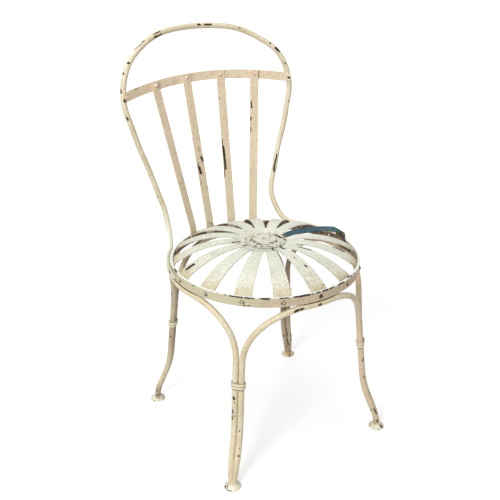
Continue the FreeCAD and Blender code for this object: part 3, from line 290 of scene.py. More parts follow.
NOISE_MIDDLE = 0.5
PALE_CLOUDS = (0.42, 0.66)
DEEP_CLOUDS = (0.45, 0.68)
DEEP_CLOUDS_PLACE = (3.1, 1.7, 5.3)
GRAIN_SCALE = 390.0
DARK_SPECKS = (0.51, 0.62)
LIGHT_SPECKS = (0.46, 0.36)
BLACK_SPECKS = (0.62, 0.74)
BLACK_SHARE = 0.6
RUST_SCALE = 160.0
RUST_CLOUDS = (0.44, 0.62)


def make_tone_group():
    """Old enamel: clouds of a paler and a deeper tone, with fine specks over both."""
    tree, graph, given, result = new_group(
        "enamel_tone",
        [
            ("Place", "place"),
            ("Base", "colour"),
            ("Pale", "colour"),
            ("Deep", "colour"),
            ("Scale", "number"),
            ("Pale Share", "number"),
            ("Deep Share", "number"),
            ("Grain", "number"),
        ],
        [("Colour", "colour")],
    )
    clouds = graph.noise(given["Place"], given["Scale"], detail=4.0)
    aside = graph.vector("ADD", given["Place"], DEEP_CLOUDS_PLACE)
    other = graph.noise(aside, given["Scale"], detail=5.0, roughness=0.65)
    pale = graph.times(graph.ramp(clouds, *PALE_CLOUDS), given["Pale Share"])
    deep = graph.times(graph.ramp(other, *DEEP_CLOUDS), given["Deep Share"])
    colour = graph.blend(pale, given["Base"], given["Pale"])
    colour = graph.blend(deep, colour, given["Deep"])
    speck = graph.noise(given["Place"], GRAIN_SCALE, roughness=0.75)
    dark = graph.times(graph.ramp(speck, *DARK_SPECKS), given["Grain"])
    light = graph.times(graph.ramp(speck, *LIGHT_SPECKS), given["Grain"])
    black = graph.times(graph.ramp(speck, *BLACK_SPECKS, ceiling=BLACK_SHARE), given["Grain"])
    colour = graph.blend(dark, colour, given["Deep"])
    colour = graph.blend(black, colour, GRIME_AND_SHADE)
    graph.feed(result["Colour"], graph.blend(light, colour, given["Pale"]))
    return tree


PATCH_SCALE = 0.11
CHIP_LEVEL = 0.8
CHIP_EDGE = 0.03


def make_scatter_group():
    """Small chips in paint, gathered in patches."""
    tree, graph, given, result = new_group(
        "scattered_chips",
        [("Place", "place"), ("Scale", "number"), ("Cover", "number"), ("Gather", "number")],
        [("Mask", "number")],
    )
    fine = graph.noise(given["Place"], given["Scale"], roughness=0.62)
    coarse = graph.times(given["Scale"], PATCH_SCALE)
    patches = graph.noise(given["Place"], coarse, detail=1.0, roughness=0.5)
    where = graph.times(graph.math("SUBTRACT", patches, NOISE_MIDDLE), given["Gather"])
    level = graph.math("SUBTRACT", CHIP_LEVEL, given["Cover"])
    level = graph.math("SUBTRACT", level, where)
    graph.feed(result["Mask"], graph.ramp(fine, level, graph.math("ADD", level, CHIP_EDGE)))
    return tree


MARK_EDGE_SCALE = 420.0
MARK_EDGE = 0.16
LEAST_SQUARE = 1e-9


def make_mark_group():
    """One chip, stain, painted shadow or painted highlight: what lies within a half width of the
    line between two points, with ragged edges."""
    tree, graph, given, result = new_group(
        "single_mark",
        [
            ("Place", "place"),
            ("Start", "place"),
            ("End", "place"),
            ("Half Width", "number"),
            ("Ragged", "number"),
        ],
        [("Mask", "number")],
    )
    along = graph.vector("SUBTRACT", given["End"], given["Start"])
    out = graph.vector("SUBTRACT", given["Place"], given["Start"])
    square = graph.most(graph.vector("DOT_PRODUCT", along, along), LEAST_SQUARE)
    share = graph.math("DIVIDE", graph.vector("DOT_PRODUCT", out, along), square)
    held = graph.math("MINIMUM", graph.most(share, 0.0), 1.0)
    scaled = graph.add("ShaderNodeVectorMath", {0: along, "Scale": held}, operation="SCALE")
    distance = graph.vector("LENGTH", graph.vector("SUBTRACT", out, scaled.outputs["Vector"]))
    wander = graph.noise(given["Place"], MARK_EDGE_SCALE)
    swing = graph.times(graph.math("SUBTRACT", wander, NOISE_MIDDLE), given["Ragged"])
    reach = graph.times(given["Half Width"], graph.math("ADD", 1.0, swing))
    gap = graph.math("DIVIDE", graph.math("SUBTRACT", reach, distance), given["Half Width"])
    graph.feed(result["Mask"], graph.ramp(gap, 0.0, MARK_EDGE))
    return tree


def make_seat_place_group():
    """Distance from the seat's axis, the place across the nearest slat and the way outwards."""
    tree, graph, given, result = new_group(
        "seat_place",
        [("Place", "place")],
        [("Radius", "number"), ("Across", "number"), ("Outward", "place")],
    )
    local = graph.vector("SUBTRACT", given["Place"], (seat_axis.x, seat_axis.y, 0.0))
    flat = graph.vector("MULTIPLY", local, (1.0, 1.0, 0.0))
    front = graph.times(graph.part(flat, "Y"), -1.0)
    steps = graph.math("DIVIDE", graph.math("ARCTAN2", graph.part(flat, "X"), front), slat_pitch)
    off = graph.math("SUBTRACT", steps, graph.math("ROUND", steps))
    radius = graph.vector("LENGTH", flat)
    graph.feed(result["Radius"], radius)
    sine = graph.math("SINE", graph.times(off, slat_pitch))
    graph.feed(result["Across"], graph.times(radius, sine))
    graph.feed(result["Outward"], graph.vector("NORMALIZE", flat))
    return tree


SHELTERED_FACING = (-0.45, -0.15)


def make_sheltered_group():
    """Where a surface of the seat faces inwards or down, sheltered from brush and hand."""
    tree, graph, given, result = new_group(
        "sheltered_side",
        [("Outward", "place"), ("Facing", "place")],
        [("Mask", "number")],
    )
    out = graph.vector("DOT_PRODUCT", given["Facing"], given["Outward"])
    total = graph.math("ADD", out, graph.part(given["Facing"], "Z"))
    graph.feed(result["Mask"], graph.ramp(total, *SHELTERED_FACING, floor=1.0, ceiling=0.0))
    return tree


PEEL_SCALE = 9.0


def make_relief_group():
    """Height of brushed and aged paint, in shares of a bump's distance: soft waves and a finer
    orange peel."""
    tree, graph, given, result = new_group(
        "paint_relief",
        [("Place", "place"), ("Scale", "number"), ("Peel", "number")],
        [("Height", "number")],
    )
    waves = graph.noise(given["Place"], given["Scale"], roughness=0.55)
    finer = graph.times(given["Scale"], PEEL_SCALE)
    peel = graph.noise(given["Place"], finer, detail=2.0, roughness=0.5)
    total = graph.math("ADD", waves, graph.times(peel, given["Peel"]))
    graph.feed(result["Height"], total)
    return tree


def make_bare_and_shadow_group():
    """Colour of bared steel: near black, with rust in places; also the colour of painted gap shadow
    drawn as chips.
    """
    tree, graph, given, result = new_group(
        "bare_steel_and_shadow",
        [("Place", "place"), ("Rust Share", "number")],
        [("Colour", "colour")],
    )
    clouds = graph.noise(given["Place"], RUST_SCALE)
    share = graph.times(graph.ramp(clouds, *RUST_CLOUDS), given["Rust Share"])
    graph.feed(result["Colour"], graph.blend(share, BARE_STEEL_AND_SHADE, RUST))
    return tree


tone_group = make_tone_group()
scatter_group = make_scatter_group()
mark_group = make_mark_group()
seat_place_group = make_seat_place_group()
sheltered_group = make_sheltered_group()
relief_group = make_relief_group()
bare_and_shadow_group = make_bare_and_shadow_group()


# Materials

CHIP_AND_SHADOW_RAGGED = 1.2
STAIN_AND_LIGHT_RAGGED = 1.0
SHELTER_DARK = (0.44, 0.6)
SHELTER_BARE = (0.58, 0.68)
SHELTER_YELLOW = (0.59, 0.66)
SHELTER_YELLOW_PLACE = (7.0, 2.0, 1.0)
WEAR_SCALE = 55.0
WEAR_CLOUDS = (0.3, 0.7)
WEAR_SWING = (-0.07, 0.1)
BARE_ROUGHNESS = 0.78
SPECULAR_LEVEL = 0.4


class Paint:
    """A material of worn enamel: its colour, the chips through it, and the surface's relief."""

    def __init__(self, name):
        self.material = bpy.data.materials.new(name)
        self.material.use_nodes = True
        self.material.node_tree.nodes.clear()
        self.graph = Graph(self.material.node_tree)
        self.place = self.graph.add("ShaderNodeTexCoord").outputs["Object"]
        self.facing = self.graph.add("ShaderNodeNewGeometry").outputs["Normal"]
        self.colour = None
        self.chips = 0.0

    def at(self, axis):
        """The place's number along an axis of the chair."""
        return self.graph.part(self.place, axis)

    def upward(self):
        """How far the surface faces up, from -1 to 1."""
        return self.graph.part(self.facing, "Z")

    def clouds(self, scale, low, high, floor=0.0, ceiling=1.0, detail=3.0, roughness=0.6):
        """A noise over the piece as a mask of soft-edged clouds, or specks at a large scale."""
        noise = self.graph.noise(self.place, scale, detail, roughness)
        return self.graph.ramp(noise, low, high, floor, ceiling)

    def tone(self, base, pale, deep, scale, pale_share, deep_share, grain):
        """The paint's own colour, which everything else lies over."""
        values = {
            "Place": self.place,
            "Base": base,
            "Pale": pale,
            "Deep": deep,
            "Scale": scale,
            "Pale Share": pale_share,
            "Deep Share": deep_share,
            "Grain": grain,
        }
        self.colour = self.graph.use(tone_group, values)["Colour"]

    def cover(self, mask, colour):
        """Another colour over the paint, where a mask says."""
        self.colour = self.graph.blend(mask, self.colour, colour)

    def chip(self, mask):
        """Adds to where the paint is gone, and to painted gap shadow drawn as a chip."""
        self.chips = self.graph.most(self.chips, mask)

    def scatter(self, scale, cover, gather, within=None):
        """Small chips all over, or within a mask."""
        values = {"Place": self.place, "Scale": scale, "Cover": cover, "Gather": gather}
        mask = self.graph.use(scatter_group, values)["Mask"]
        self.chip(mask if within is None else self.graph.times(mask, within))

    def mark(self, start, end, half_width, ragged):
        """The mask of a single mark between two points."""
        values = {
            "Place": self.place,
            "Start": start,
            "End": end,
            "Half Width": half_width,
            "Ragged": ragged,
        }
        return self.graph.use(mark_group, values)["Mask"]

    def chip_and_shadow_marks(self, names, marks):
        """The chips of a table, on the pieces named; a table's rows may also be painted gap shadow
        drawn as chips.
        """
        for start, end, half_width in places_of(names, marks):
            self.chip(self.mark(start, end, half_width, CHIP_AND_SHADOW_RAGGED))

    def stain_and_painted_light_marks(self, names, marks, colour):
        """The spots of another colour of a table, on the pieces named: stains, painted shadow and
        painted highlights.
        """
        for start, end, half_width in places_of(names, marks):
            self.cover(self.mark(start, end, half_width, STAIN_AND_LIGHT_RAGGED), colour)

    def seat(self):
        """Where the surface lies on the round seat."""
        return self.graph.use(seat_place_group, {"Place": self.place})

    def uneven_reach(self, seat, scale, swing):
        """Distance from the seat's axis, pushed about by clouds."""
        clouds = self.graph.times(self.graph.noise(self.place, scale), swing)
        return self.graph.math("ADD", seat["Radius"], clouds)

    def shelter(self, seat):
        """Grime, bare steel and a little old yellow where the seat faces inwards or down."""
        graph = self.graph
        clouds = graph.noise(self.place, scale=75.0, detail=4.0, roughness=0.65)
        colour = graph.blend(graph.ramp(clouds, *SHELTER_DARK), GRIME_AND_SHADE, DARK_GRIME_AND_SHADE)
        colour = graph.blend(graph.ramp(clouds, *SHELTER_BARE), colour, BARE_STEEL_AND_SHADE)
        aside = graph.vector("ADD", self.place, SHELTER_YELLOW_PLACE)
        left = graph.noise(aside, scale=95.0, detail=4.0)
        colour = graph.blend(graph.ramp(left, *SHELTER_YELLOW), colour, OLD_YELLOW)
        facing = {"Outward": seat["Outward"], "Facing": self.facing}
        self.cover(graph.use(sheltered_group, facing)["Mask"], colour)

    def finish(self, roughness, rust_share, relief_scale, relief_depth, peel=0.3):
        """Joins colour, chips with any painted gap shadow drawn as chips, and relief in a shader;
        returns the material.
        """
        graph = self.graph
        bare = graph.use(bare_and_shadow_group, {"Place": self.place, "Rust Share": rust_share})["Colour"]
        relief = {"Place": self.place, "Scale": relief_scale, "Peel": peel}
        height = graph.use(relief_group, relief)["Height"]
        height = graph.math("SUBTRACT", height, self.chips)
        bump = {"Strength": 1.0, "Distance": relief_depth, "Height": height}
        normal = graph.add("ShaderNodeBump", bump).outputs["Normal"]
        swing = [roughness + change for change in WEAR_SWING]
        worn = self.clouds(WEAR_SCALE, *WEAR_CLOUDS, *swing)
        values = {
            "Base Color": graph.blend(self.chips, self.colour, bare),
            "Roughness": graph.most(worn, graph.times(self.chips, BARE_ROUGHNESS)),
            "Specular IOR Level": SPECULAR_LEVEL,
            "Normal": normal,
        }
        shader = graph.add("ShaderNodeBsdfPrincipled", values)
        output = graph.add("ShaderNodeOutputMaterial")
        graph.tree.links.new(shader.outputs["BSDF"], output.inputs["Surface"])
        return self.material


def dress(material, names):
    """Gives nodes their material."""
    for name in names:
        mesh = nodes[name].data
        mesh.materials.clear()
        mesh.materials.append(material)


# Tables of marks. A row holds one end across and down and the other end across and down, in
# pixels of the photograph, then the half width in millimetres. _MARKS and _DASHES are chips down
# to steel, save the seat's rows noted as painted shadow. The band's lines are painted shadow, the
# lights on its heads painted highlights, and the others are stains.

HOOP_MARKS = (
    (134.6, 50.0, 141.0, 44.2, 1.1),
    (142.0, 42.4, 144.0, 40.9, 2.0),
    (153.6, 34.2, 160.0, 31.4, 1.7),
    (155.2, 37.2, 157.4, 36.2, 2.6),
    (159.0, 35.6, 161.4, 34.2, 2.0),
    (124.4, 99.6, 124.8, 101.8, 2.4),
    (124.0, 94.4, 124.2, 94.8, 0.9),
    (288.8, 100.6, 288.9, 101.0, 1.3),
    (288.4, 72.6, 288.5, 72.9, 0.9),
    (198, 24.5, 200, 24.5, 2.6),
    (205, 24.5, 211, 24.5, 2.3),
    (276, 48, 279, 51, 3.1),
    (128, 63, 129, 63, 2.9),
    (123, 73, 123.4, 74, 2.3),
    (121, 90, 121, 93, 2.3),
    (270, 43, 270.6, 43.4, 1.9),
    (239, 28, 240, 28, 1.7),
    (285, 63, 285.4, 63.5, 1.8),
    (127, 118, 128, 120, 2.2),
    (276.6, 154.5, 276, 160, 1.9),
    (275.6, 160, 274.6, 164.5, 2.2),
    (274.4, 166, 274, 171, 2.4),
    (157.4, 196.6, 157.8, 198.2, 1.0),
)
HOOP_RUST = ((169.4, 271.5, 171.4, 275, 4.1),)
LEG_MARKS = (
    (295.2, 311.8, 298.2, 310.2, 3.0),
    (300.8, 309.6, 303.0, 308.8, 2.6),
    (319.6, 305.2, 320.8, 304.4, 3.1),
    (233.6, 397.4, 234, 399, 2.8),
    (234.4, 402, 234.6, 403, 1.0),
    (232.6, 410, 232.9, 413, 1.9),
    (232.2, 416, 232.3, 419, 2.2),
    (234.4, 416, 234.6, 416.6, 1.0),
    (239.2, 431, 239.4, 431.6, 1.4),
    (238.6, 455.4, 238.7, 456.4, 1.8),
    (239.4, 448, 239.4, 449, 1.1),
    (228.4, 473, 228.4, 475, 1.8),
    (228.4, 476.4, 228.5, 477.2, 1.4),
    (363.4, 357.8, 362.4, 361, 1.8),
    (364, 376.4, 364, 377.4, 1.9),
    (369.6, 391.6, 370, 393, 1.4),
    (373.8, 408.6, 376.6, 413.6, 1.9),
    (377, 420, 378, 421.4, 1.4),
    (371, 410, 371, 411, 1.3),
    (361.2, 320.2, 361.4, 321, 1.1),
    (170.9, 290, 171.1, 296, 1.8),
    (170.9, 298.4, 171, 299.4, 1.7),
    (170.4, 336, 170.6, 336.8, 1.7),
    (164.6, 379.4, 163.6, 381.4, 1.9),
    (286.8, 332, 287.2, 336.4, 2.6),
    (287.2, 338.6, 287.8, 342, 2.9),
    (287.9, 343.4, 288.2, 344.6, 2.8),
    (283.7, 335.2, 284, 336.6, 1.9),
    (290.9, 338.8, 291.2, 340.6, 2.2),
    (290.7, 333.0, 290.8, 337.0, 1.5),
    (286.7, 328.4, 286.8, 331.0, 1.6),
    (370.8, 409.4, 370.9, 410.6, 1.4),
    (373.2, 419.4, 373.6, 422.4, 1.3),
    (378.4, 416.9, 378.8, 420.2, 1.2),
    (376.4, 420.6, 376.6, 421.2, 1.3),
    (375.0, 423.4, 375.2, 423.9, 1.2),
    (377.4, 422.6, 377.6, 423.0, 1.1),
)
FOOT_MARKS = (
    (380.2, 425.0, 382, 427.2, 2.7),
    (369.2, 426.6, 370.0, 423.8, 1.1),
    (373.2, 429.2, 379.6, 429.4, 1.0),
    (222.6, 486.6, 227.8, 490.4, 1.0),
    (228.2, 490.6, 231.4, 490.9, 0.9),
    (225.5, 482.8, 225.6, 483.2, 1.0),
    (226.0, 486.0, 226.1, 486.3, 0.9),
    (156.8, 397.8, 156.9, 398.3, 1.3),
    (159.0, 397.8, 159.1, 398.4, 1.2),
    (286.0, 350.4, 286.6, 351.0, 1.9),
    (289.6, 353.2, 289.8, 353.8, 1.5),
    (222.6, 486, 224.4, 488.6, 1.8),
    (287.4, 350, 288.8, 351.6, 1.9),
    (289.2, 355.4, 289.6, 356.6, 1.6),
    (154, 400.6, 154.4, 401, 1.2),
)
# Painted shadow on the cross band: dark lines beside the back slats' edges, and dark crescents
# below right of the band's rivet heads.
BAND_PAINTED_SHADOWS = (
    (158.9, 82.4, 160.0, 88.6, 0.9),
    (190.0, 75.4, 191.8, 81.8, 0.9),
    (224.6, 71.4, 225.3, 78.6, 0.9),
    (258.3, 70.8, 258.5, 78.2, 0.9),
    (156.4, 86.9, 157.7, 85.7, 0.9),
    (187.2, 78.5, 188.8, 76.9, 0.9),
    (220.2, 75.6, 222.0, 74.8, 0.7),
)
# Painted highlights on the upper left of two of the band's rivet heads.
HEAD_PAINTED_HIGHLIGHTS = (
    (155.3, 84.8, 155.5, 84.9, 2.0),
    (186.3, 76.5, 186.5, 76.6, 2.0),
)
FOOT_OCHRE = (
    (286.6, 353.8, 290.6, 354.6, 5.0),
    (292.4, 352.6, 294.6, 353.6, 3.4),
    (163.2, 398.6, 164.6, 398.1, 2.4),
)
BACK_MARKS = (
    (201.4, 157.4, 203.0, 160.6, 3.2),
    (198.0, 163, 198.5, 166.5, 1.4),
    (199.4, 167.6, 201.0, 173.2, 3.7),
    (201, 180, 201.4, 184, 1.0),
    (207.4, 187.3, 207.6, 187.9, 1.0),
    (192.5, 139, 192.9, 139.8, 1.4),
    (198.6, 146, 199.2, 151, 0.8),
    (222.2, 140, 223, 147, 1.3),
    (223.2, 147, 224.4, 156, 3.4),
    (224.2, 156, 225.2, 163, 2.9),
    (225.2, 163, 225.4, 168.5, 3.2),
    (224.8, 168, 224.6, 177.5, 1.1),
    (251.3, 101.7, 251.6, 107.5, 1.8),
    (250.9, 117.5, 250.9, 120, 1.7),
    (250.8, 127, 250.8, 131, 1.1),
    (124.2, 101, 125.6, 103.4, 2.4),
    (288.3, 77.3, 289.7, 77.8, 2.8),
    (174.4, 78.4, 174.5, 78.8, 0.9),
    (174.4, 81.4, 174.5, 82.0, 1.2),
    (174.2, 84.2, 174.3, 84.6, 0.9),
    (135.2, 89.2, 136.8, 88.7, 0.9),
    (251.6, 106.6, 252.6, 107.6, 1.0),
    (253.8, 74.0, 254.2, 74.3, 1.3),
    (219.4, 97.4, 219.6, 98, 1.1),
    (209, 221.6, 210.6, 223.6, 0.8),
    (211.4, 223, 213.4, 226, 0.8),
)
RIM_DASHES = (
    (224.0, 294.6, 226.4, 295.0, 0.9),
    (229.0, 295.5, 236.0, 296.1, 1.5),
    (236.0, 296.1, 242.4, 296.9, 1.9),
    (245.2, 296.9, 250.0, 297.5, 1.8),
    (250.0, 297.5, 254.0, 298.0, 1.2),
    (262.4, 297.9, 268.6, 298.2, 2.3),
    (279.8, 297.4, 287.8, 296.3, 1.3),
    (293.4, 295.3, 299.0, 294.4, 2.0),
    (299.0, 294.4, 308.2, 292.9, 2.4),
    (310.0, 292.6, 312.0, 292.2, 1.0),
    (314.6, 291.6, 318.8, 290.7, 1.5),
    (322.0, 289.9, 327.4, 288.6, 2.1),
    (329.0, 287.9, 331.8, 287.0, 1.7),
    (338.6, 284.8, 343.6, 281.8, 1.8),
)
RIM_MARKS = (
    (348.0, 277.4, 349.8, 275.2, 2.3),
    (192.4, 285.2, 194.4, 286.4, 1.2),
    (174.4, 268.8, 176.6, 272.0, 2.0),
    (243.2, 305.4, 245.0, 305.6, 1.4),
    (247.8, 305.8, 249.2, 305.9, 1.3),
    (332.6, 284.8, 333.4, 284.6, 0.8),
)
SEAT_MARKS = (
    (186.8, 269.2, 190, 266.9, 3.8),
    (189.6, 267, 193.4, 264.6, 4.0),
    (294.0, 257.2, 294.6, 257.8, 1.7),
    (304.9, 265.2, 307, 266.8, 2.1),
    (323.4, 284.4, 323.8, 284.8, 1.4),
    # These four rows are dark gap edges between slats near the hub: chipped edges and painted
    # shadow.
    (271.5, 247.2, 274.6, 250.4, 2.6),
    (280.2, 246.3, 284.4, 248.9, 2.6),
    (243.3, 245.9, 247.6, 244.3, 2.3),
    (232.4, 242.5, 240.4, 241.6, 2.3),
    # These two rows are painted shadow in the gap between two slats, drawn as chips.
    (298, 246.8, 304, 248.2, 1.6),
    (304, 248.2, 311, 250, 2.1),
    (176.6, 269.6, 177.8, 270.6, 2.2),
)
HUB_STAINS = (
    (263.2, 238.7, 263.8, 238.9, 2.0),
    (265.2, 238.7, 265.8, 238.9, 1.8),
    (273.4, 234.2, 275.6, 235.6, 3.4),
    (276.0, 238.6, 276.6, 239.4, 2.2),
    (268.2, 241.0, 268.6, 241.2, 1.5),
    (252.4, 237.4, 252.8, 238.0, 2.1),
    (246.1, 239.4, 246.4, 240.0, 1.8),
)
HUB_PITS = (
    (276.6, 235.2, 279.4, 236.4, 3.4),
    (278.8, 236.4, 281.4, 237.8, 3.9),
    (259.1, 234.2, 259.6, 234.3, 2.2),
    (265.0, 234.2, 265.4, 234.3, 1.5),
    (269.5, 233.9, 269.9, 234.0, 1.4),
    (253.2, 236.4, 253.6, 236.5, 1.8),
    (245.0, 236.9, 245.6, 237.1, 1.8),
    (251.3, 239.0, 251.7, 239.5, 2.5),
    (251.5, 240.5, 251.8, 240.8, 2.1),
    (254.1, 241.3, 254.6, 241.8, 2.4),
    (262.9, 238.4, 263.1, 238.5, 1.2),
    (270.1, 236.0, 270.4, 236.2, 1.5),
    (269.5, 238.3, 269.8, 238.5, 1.4),
    (276.0, 240.9, 276.4, 241.3, 2.0),
    (273.2, 241.3, 273.6, 241.6, 1.8),
    (270.4, 242.3, 270.8, 242.6, 2.1),
    (272.3, 243.2, 272.7, 243.5, 1.7),
    (280.2, 243.3, 281.2, 243.1, 1.4),
    (284.4, 239.4, 285.0, 239.8, 3.0),
    (285.9, 240.0, 286.3, 240.4, 2.1),
    (259.9, 244.2, 260.5, 244.4, 2.4),
    (256.8, 244.6, 257.3, 244.7, 1.7),
    (261.7, 246.5, 262.5, 246.6, 2.5),
    (255.9, 246.0, 256.3, 246.2, 2.0),
    (254.3, 246.2, 254.6, 246.5, 2.0),
    (267.5, 246.4, 273.0, 246.7, 1.4),
    (276.2, 245.5, 276.8, 245.4, 2.2),
    (248.1, 243.7, 248.8, 243.6, 1.4),
)
ROOT_TAN = (
    (273.6, 234.2, 276.4, 235.4, 3.2),
)
ROOT_BROWN = (
    (277.2, 235.4, 279.8, 236.6, 3.0),
    (279.4, 236.6, 282.4, 238.2, 3.2),
    (284.4, 239.4, 285.8, 240.0, 2.4),
)
INNER_DARK = (
    (333.4, 244.9, 338.0, 246.4, 2.6),
    (338.0, 246.6, 343.4, 249.2, 3.0),
    (343.4, 249.0, 348.4, 252.2, 3.0),
    (349.4, 252.2, 354.6, 258.4, 2.4),
)
INNER_YELLOW = (
    (340.4, 246.4, 341.0, 246.8, 1.2),
    (344.6, 249.4, 345.4, 249.8, 1.2),
    (350.6, 251.6, 355.6, 257.0, 1.6),
    (355.4, 259.0, 356.8, 263.0, 2.2),
    (351.6, 263.4, 354.4, 267.0, 2.0),
)
TEAL_DARK = (
    (340.2, 234.4, 342.6, 236.8, 4.6),
    (313.4, 233.6, 321.6, 234.6, 2.6),
)
TEAL_YELLOW = (
    (323.6, 233.4, 326.8, 233.9, 1.2),
    (328.6, 234.8, 333.2, 236.6, 2.6),
    (333.2, 233.6, 335.2, 235.2, 1.5),
    (345.4, 235.0, 345.8, 235.6, 1.0),
)
RIVET_MARKS = (
    (320.5, 296.2, 320.9, 296.9, 4.0),
    (179.3, 281.6, 179.5, 282.0, 2.6),
)

# Spans over which a colour, its dirt, its wear, its painted shade or its painted highlight sets in
# and is full, in metres: ACROSS from left to right and BACK from the chair's middle, UP from the
# floor, OUT from the seat's axis, and OFF from the line or level that the function names.


def span_from(level, offsets):
    """A span given by its ends' heights or distances from a level."""
    return [level + offset for offset in offsets]


ROD_FINISH = {
    "roughness": 0.42,
    "rust_share": 0.3,
    "relief_scale": 60.0,
    "relief_depth": 0.0006,
}


def rod_enamel(name, base, names=(), marks=()):
    """Cream enamel of the rods, with chips down to dark steel; still to be finished."""
    enamel = Paint(name)
    enamel.tone(
        base, PALE_CREAM, DEEP_CREAM, scale=22.0, pale_share=0.75, deep_share=0.4, grain=0.7
    )
    enamel.scatter(scale=210.0, cover=0.03, gather=0.5)
    enamel.chip_and_shadow_marks(names, marks)
    return enamel


HEEL_OFF_RIM = (0.1, 0.03)
HEEL_ACROSS = (-0.1, -0.16)


def hoop_enamel():
    """Enamel of the hoop, greener low down on the left."""
    hoop = ["back_hoop"]
    enamel = rod_enamel("hoop_enamel", HOOP_CREAM, hoop, HOOP_MARKS)
    graph = enamel.graph
    low = graph.ramp(enamel.at("Z"), *span_from(rim_top, HEEL_OFF_RIM), ceiling=0.7)
    enamel.cover(graph.times(low, graph.ramp(enamel.at("X"), *HEEL_ACROSS)), HEEL_GREEN)
    enamel.stain_and_painted_light_marks(hoop, HOOP_RUST, RUST)
    return enamel.finish(**ROD_FINISH)


PINK_LEGS_ACROSS = (0.04, 0.16)
BACK_LEGS_BACK = (0.02, 0.1)
SHADE_UP = (0.06, 0.2)
SHADE_ACROSS = (-0.05, 0.05)
LOW_DIRT_UP = (0.07, 0.025)
RIM_SHADOW_OFF = (-0.0022, -0.0008)
COLLAR_SHADOW_AND_DIRT_OFF = (0.0028, 0.0008)


def leg_enamel():
    """Enamel of the legs: pinker to the right, with painted brown shade under the seat and dirt low
    down at the back, a line of painted shadow under the rim and one of dirt and painted shadow
    under each collar."""
    enamel = rod_enamel("leg_enamel", CREAM, pieces("leg_"), LEG_MARKS)
    graph = enamel.graph
    height = enamel.at("Z")
    across = enamel.at("X")
    behind = graph.ramp(enamel.at("Y"), *BACK_LEGS_BACK)
    enamel.cover(graph.ramp(across, *PINK_LEGS_ACROSS, ceiling=0.35), RIM_PINK)
    shaded = graph.times(behind, graph.ramp(height, *SHADE_UP))
    clouds = enamel.clouds(scale=34.0, low=0.36, high=0.6, floor=0.6, detail=4.0, roughness=0.65)
    clouds = graph.times(clouds, graph.ramp(across, *SHADE_ACROSS, floor=0.5))
    enamel.cover(graph.times(shaded, clouds), SHADE_BROWN)
    low = graph.times(behind, graph.ramp(height, *LOW_DIRT_UP))
    dirt = enamel.clouds(scale=150.0, low=0.4, high=0.6, floor=0.25, ceiling=0.9, roughness=0.65)
    enamel.cover(graph.times(low, dirt), GRIME_AND_SHADE)
    # Painted shadow on the rods' tops in the gap under the rim.
    enamel.cover(graph.ramp(height, *span_from(rim_bottom, RIM_SHADOW_OFF)), DARK_GRIME_AND_SHADE)
    # Dirt and painted shadow on the rods just below each collar.
    below = graph.apart(height, collar_low)
    enamel.cover(graph.ramp(below, *COLLAR_SHADOW_AND_DIRT_OFF, ceiling=0.7), DARK_GRIME_AND_SHADE)
    return enamel.finish(**ROD_FINISH)


BEAD_RISE = 0.0036
CROWN_OFF = (0.0024, 0.001)
GROOVE_OFF = (0.0016, 0.0004)
COLLAR_END_OFF = (-0.0026, -0.0008)


def collar_enamel():
    """The collars: a painted highlight on the crowns of their beads, with dirt and painted shade in
    the groove between them and along both ends."""
    enamel = rod_enamel("collar_enamel", CREAM)
    graph = enamel.graph
    off = graph.apart(enamel.at("Z"), collar_middle)
    # Painted highlight on the crown of each bead.
    crown = graph.ramp(graph.apart(off, BEAD_RISE), *CROWN_OFF, ceiling=0.8)
    enamel.cover(crown, PALE_CREAM)
    # Dirt and painted shade in the groove between the beads and along the collar's ends, broken by
    # clouds.
    end = graph.ramp(off, *span_from(collar_half, COLLAR_END_OFF))
    dirt = graph.most(graph.ramp(off, *GROOVE_OFF), end)
    broken = enamel.clouds(scale=120.0, low=0.34, high=0.5, floor=0.3, ceiling=0.75)
    enamel.cover(graph.times(dirt, broken), GRIME_AND_SHADE)
    return enamel.finish(**ROD_FINISH)


OLIVE_OFF_RIM = (0.2, 0.05)


def back_enamel():
    """Beige enamel of the back's flat bars, dull and finely grained, and olive low down, with
    painted shadow and highlights round the band's slats and rivets.
    """
    enamel = Paint("back_enamel")
    enamel.tone(
        BEIGE, PALE_BEIGE, DEEP_BEIGE, scale=18.0, pale_share=0.6, deep_share=0.35, grain=0.95
    )
    enamel.scatter(scale=240.0, cover=0.015, gather=0.45)
    low = span_from(rim_top, OLIVE_OFF_RIM)
    enamel.cover(enamel.graph.ramp(enamel.at("Z"), *low, ceiling=0.3), RIM_OLIVE)
    names = pieces("back_slat_left", "back_slat_right", "cross_band")
    # Painted shadow beside the slats' edges and under the band's rivet heads, in the grime colour.
    enamel.stain_and_painted_light_marks(names, BAND_PAINTED_SHADOWS, GRIME_AND_SHADE)
    # Painted highlights on two of the band's rivet heads, in white.
    enamel.stain_and_painted_light_marks(names, HEAD_PAINTED_HIGHLIGHTS, RIM_WHITE)
    enamel.chip_and_shadow_marks(names, BACK_MARKS)
    return enamel.finish(
        roughness=0.55, rust_share=0.4, relief_scale=90.0, relief_depth=0.0005, peel=0.8
    )


RIVET_RING = 0.0052
RIVET_RING_OFF = (0.0006, 0.0015)
RIVET_LOW_OFF = (0.003, -0.003)
# On the heads: a ring of dirt and painted shade, and a painted highlight on top.
HEAD_RING = 0.0035
HEAD_RING_OFF = (0.0018, 0.0009)
HEAD_LOW_OFF = (0.004, -0.001)
HEAD_HIGHLIGHT_OFF = (0.0022, 0.001)


def off_rivet(enamel, seat):
    """How far the place lies above the rim's row of rivets, and how far from the nearest one."""
    up = enamel.graph.math("SUBTRACT", enamel.at("Z"), rim_middle)
    return up, enamel.graph.diagonal(up, seat["Across"])


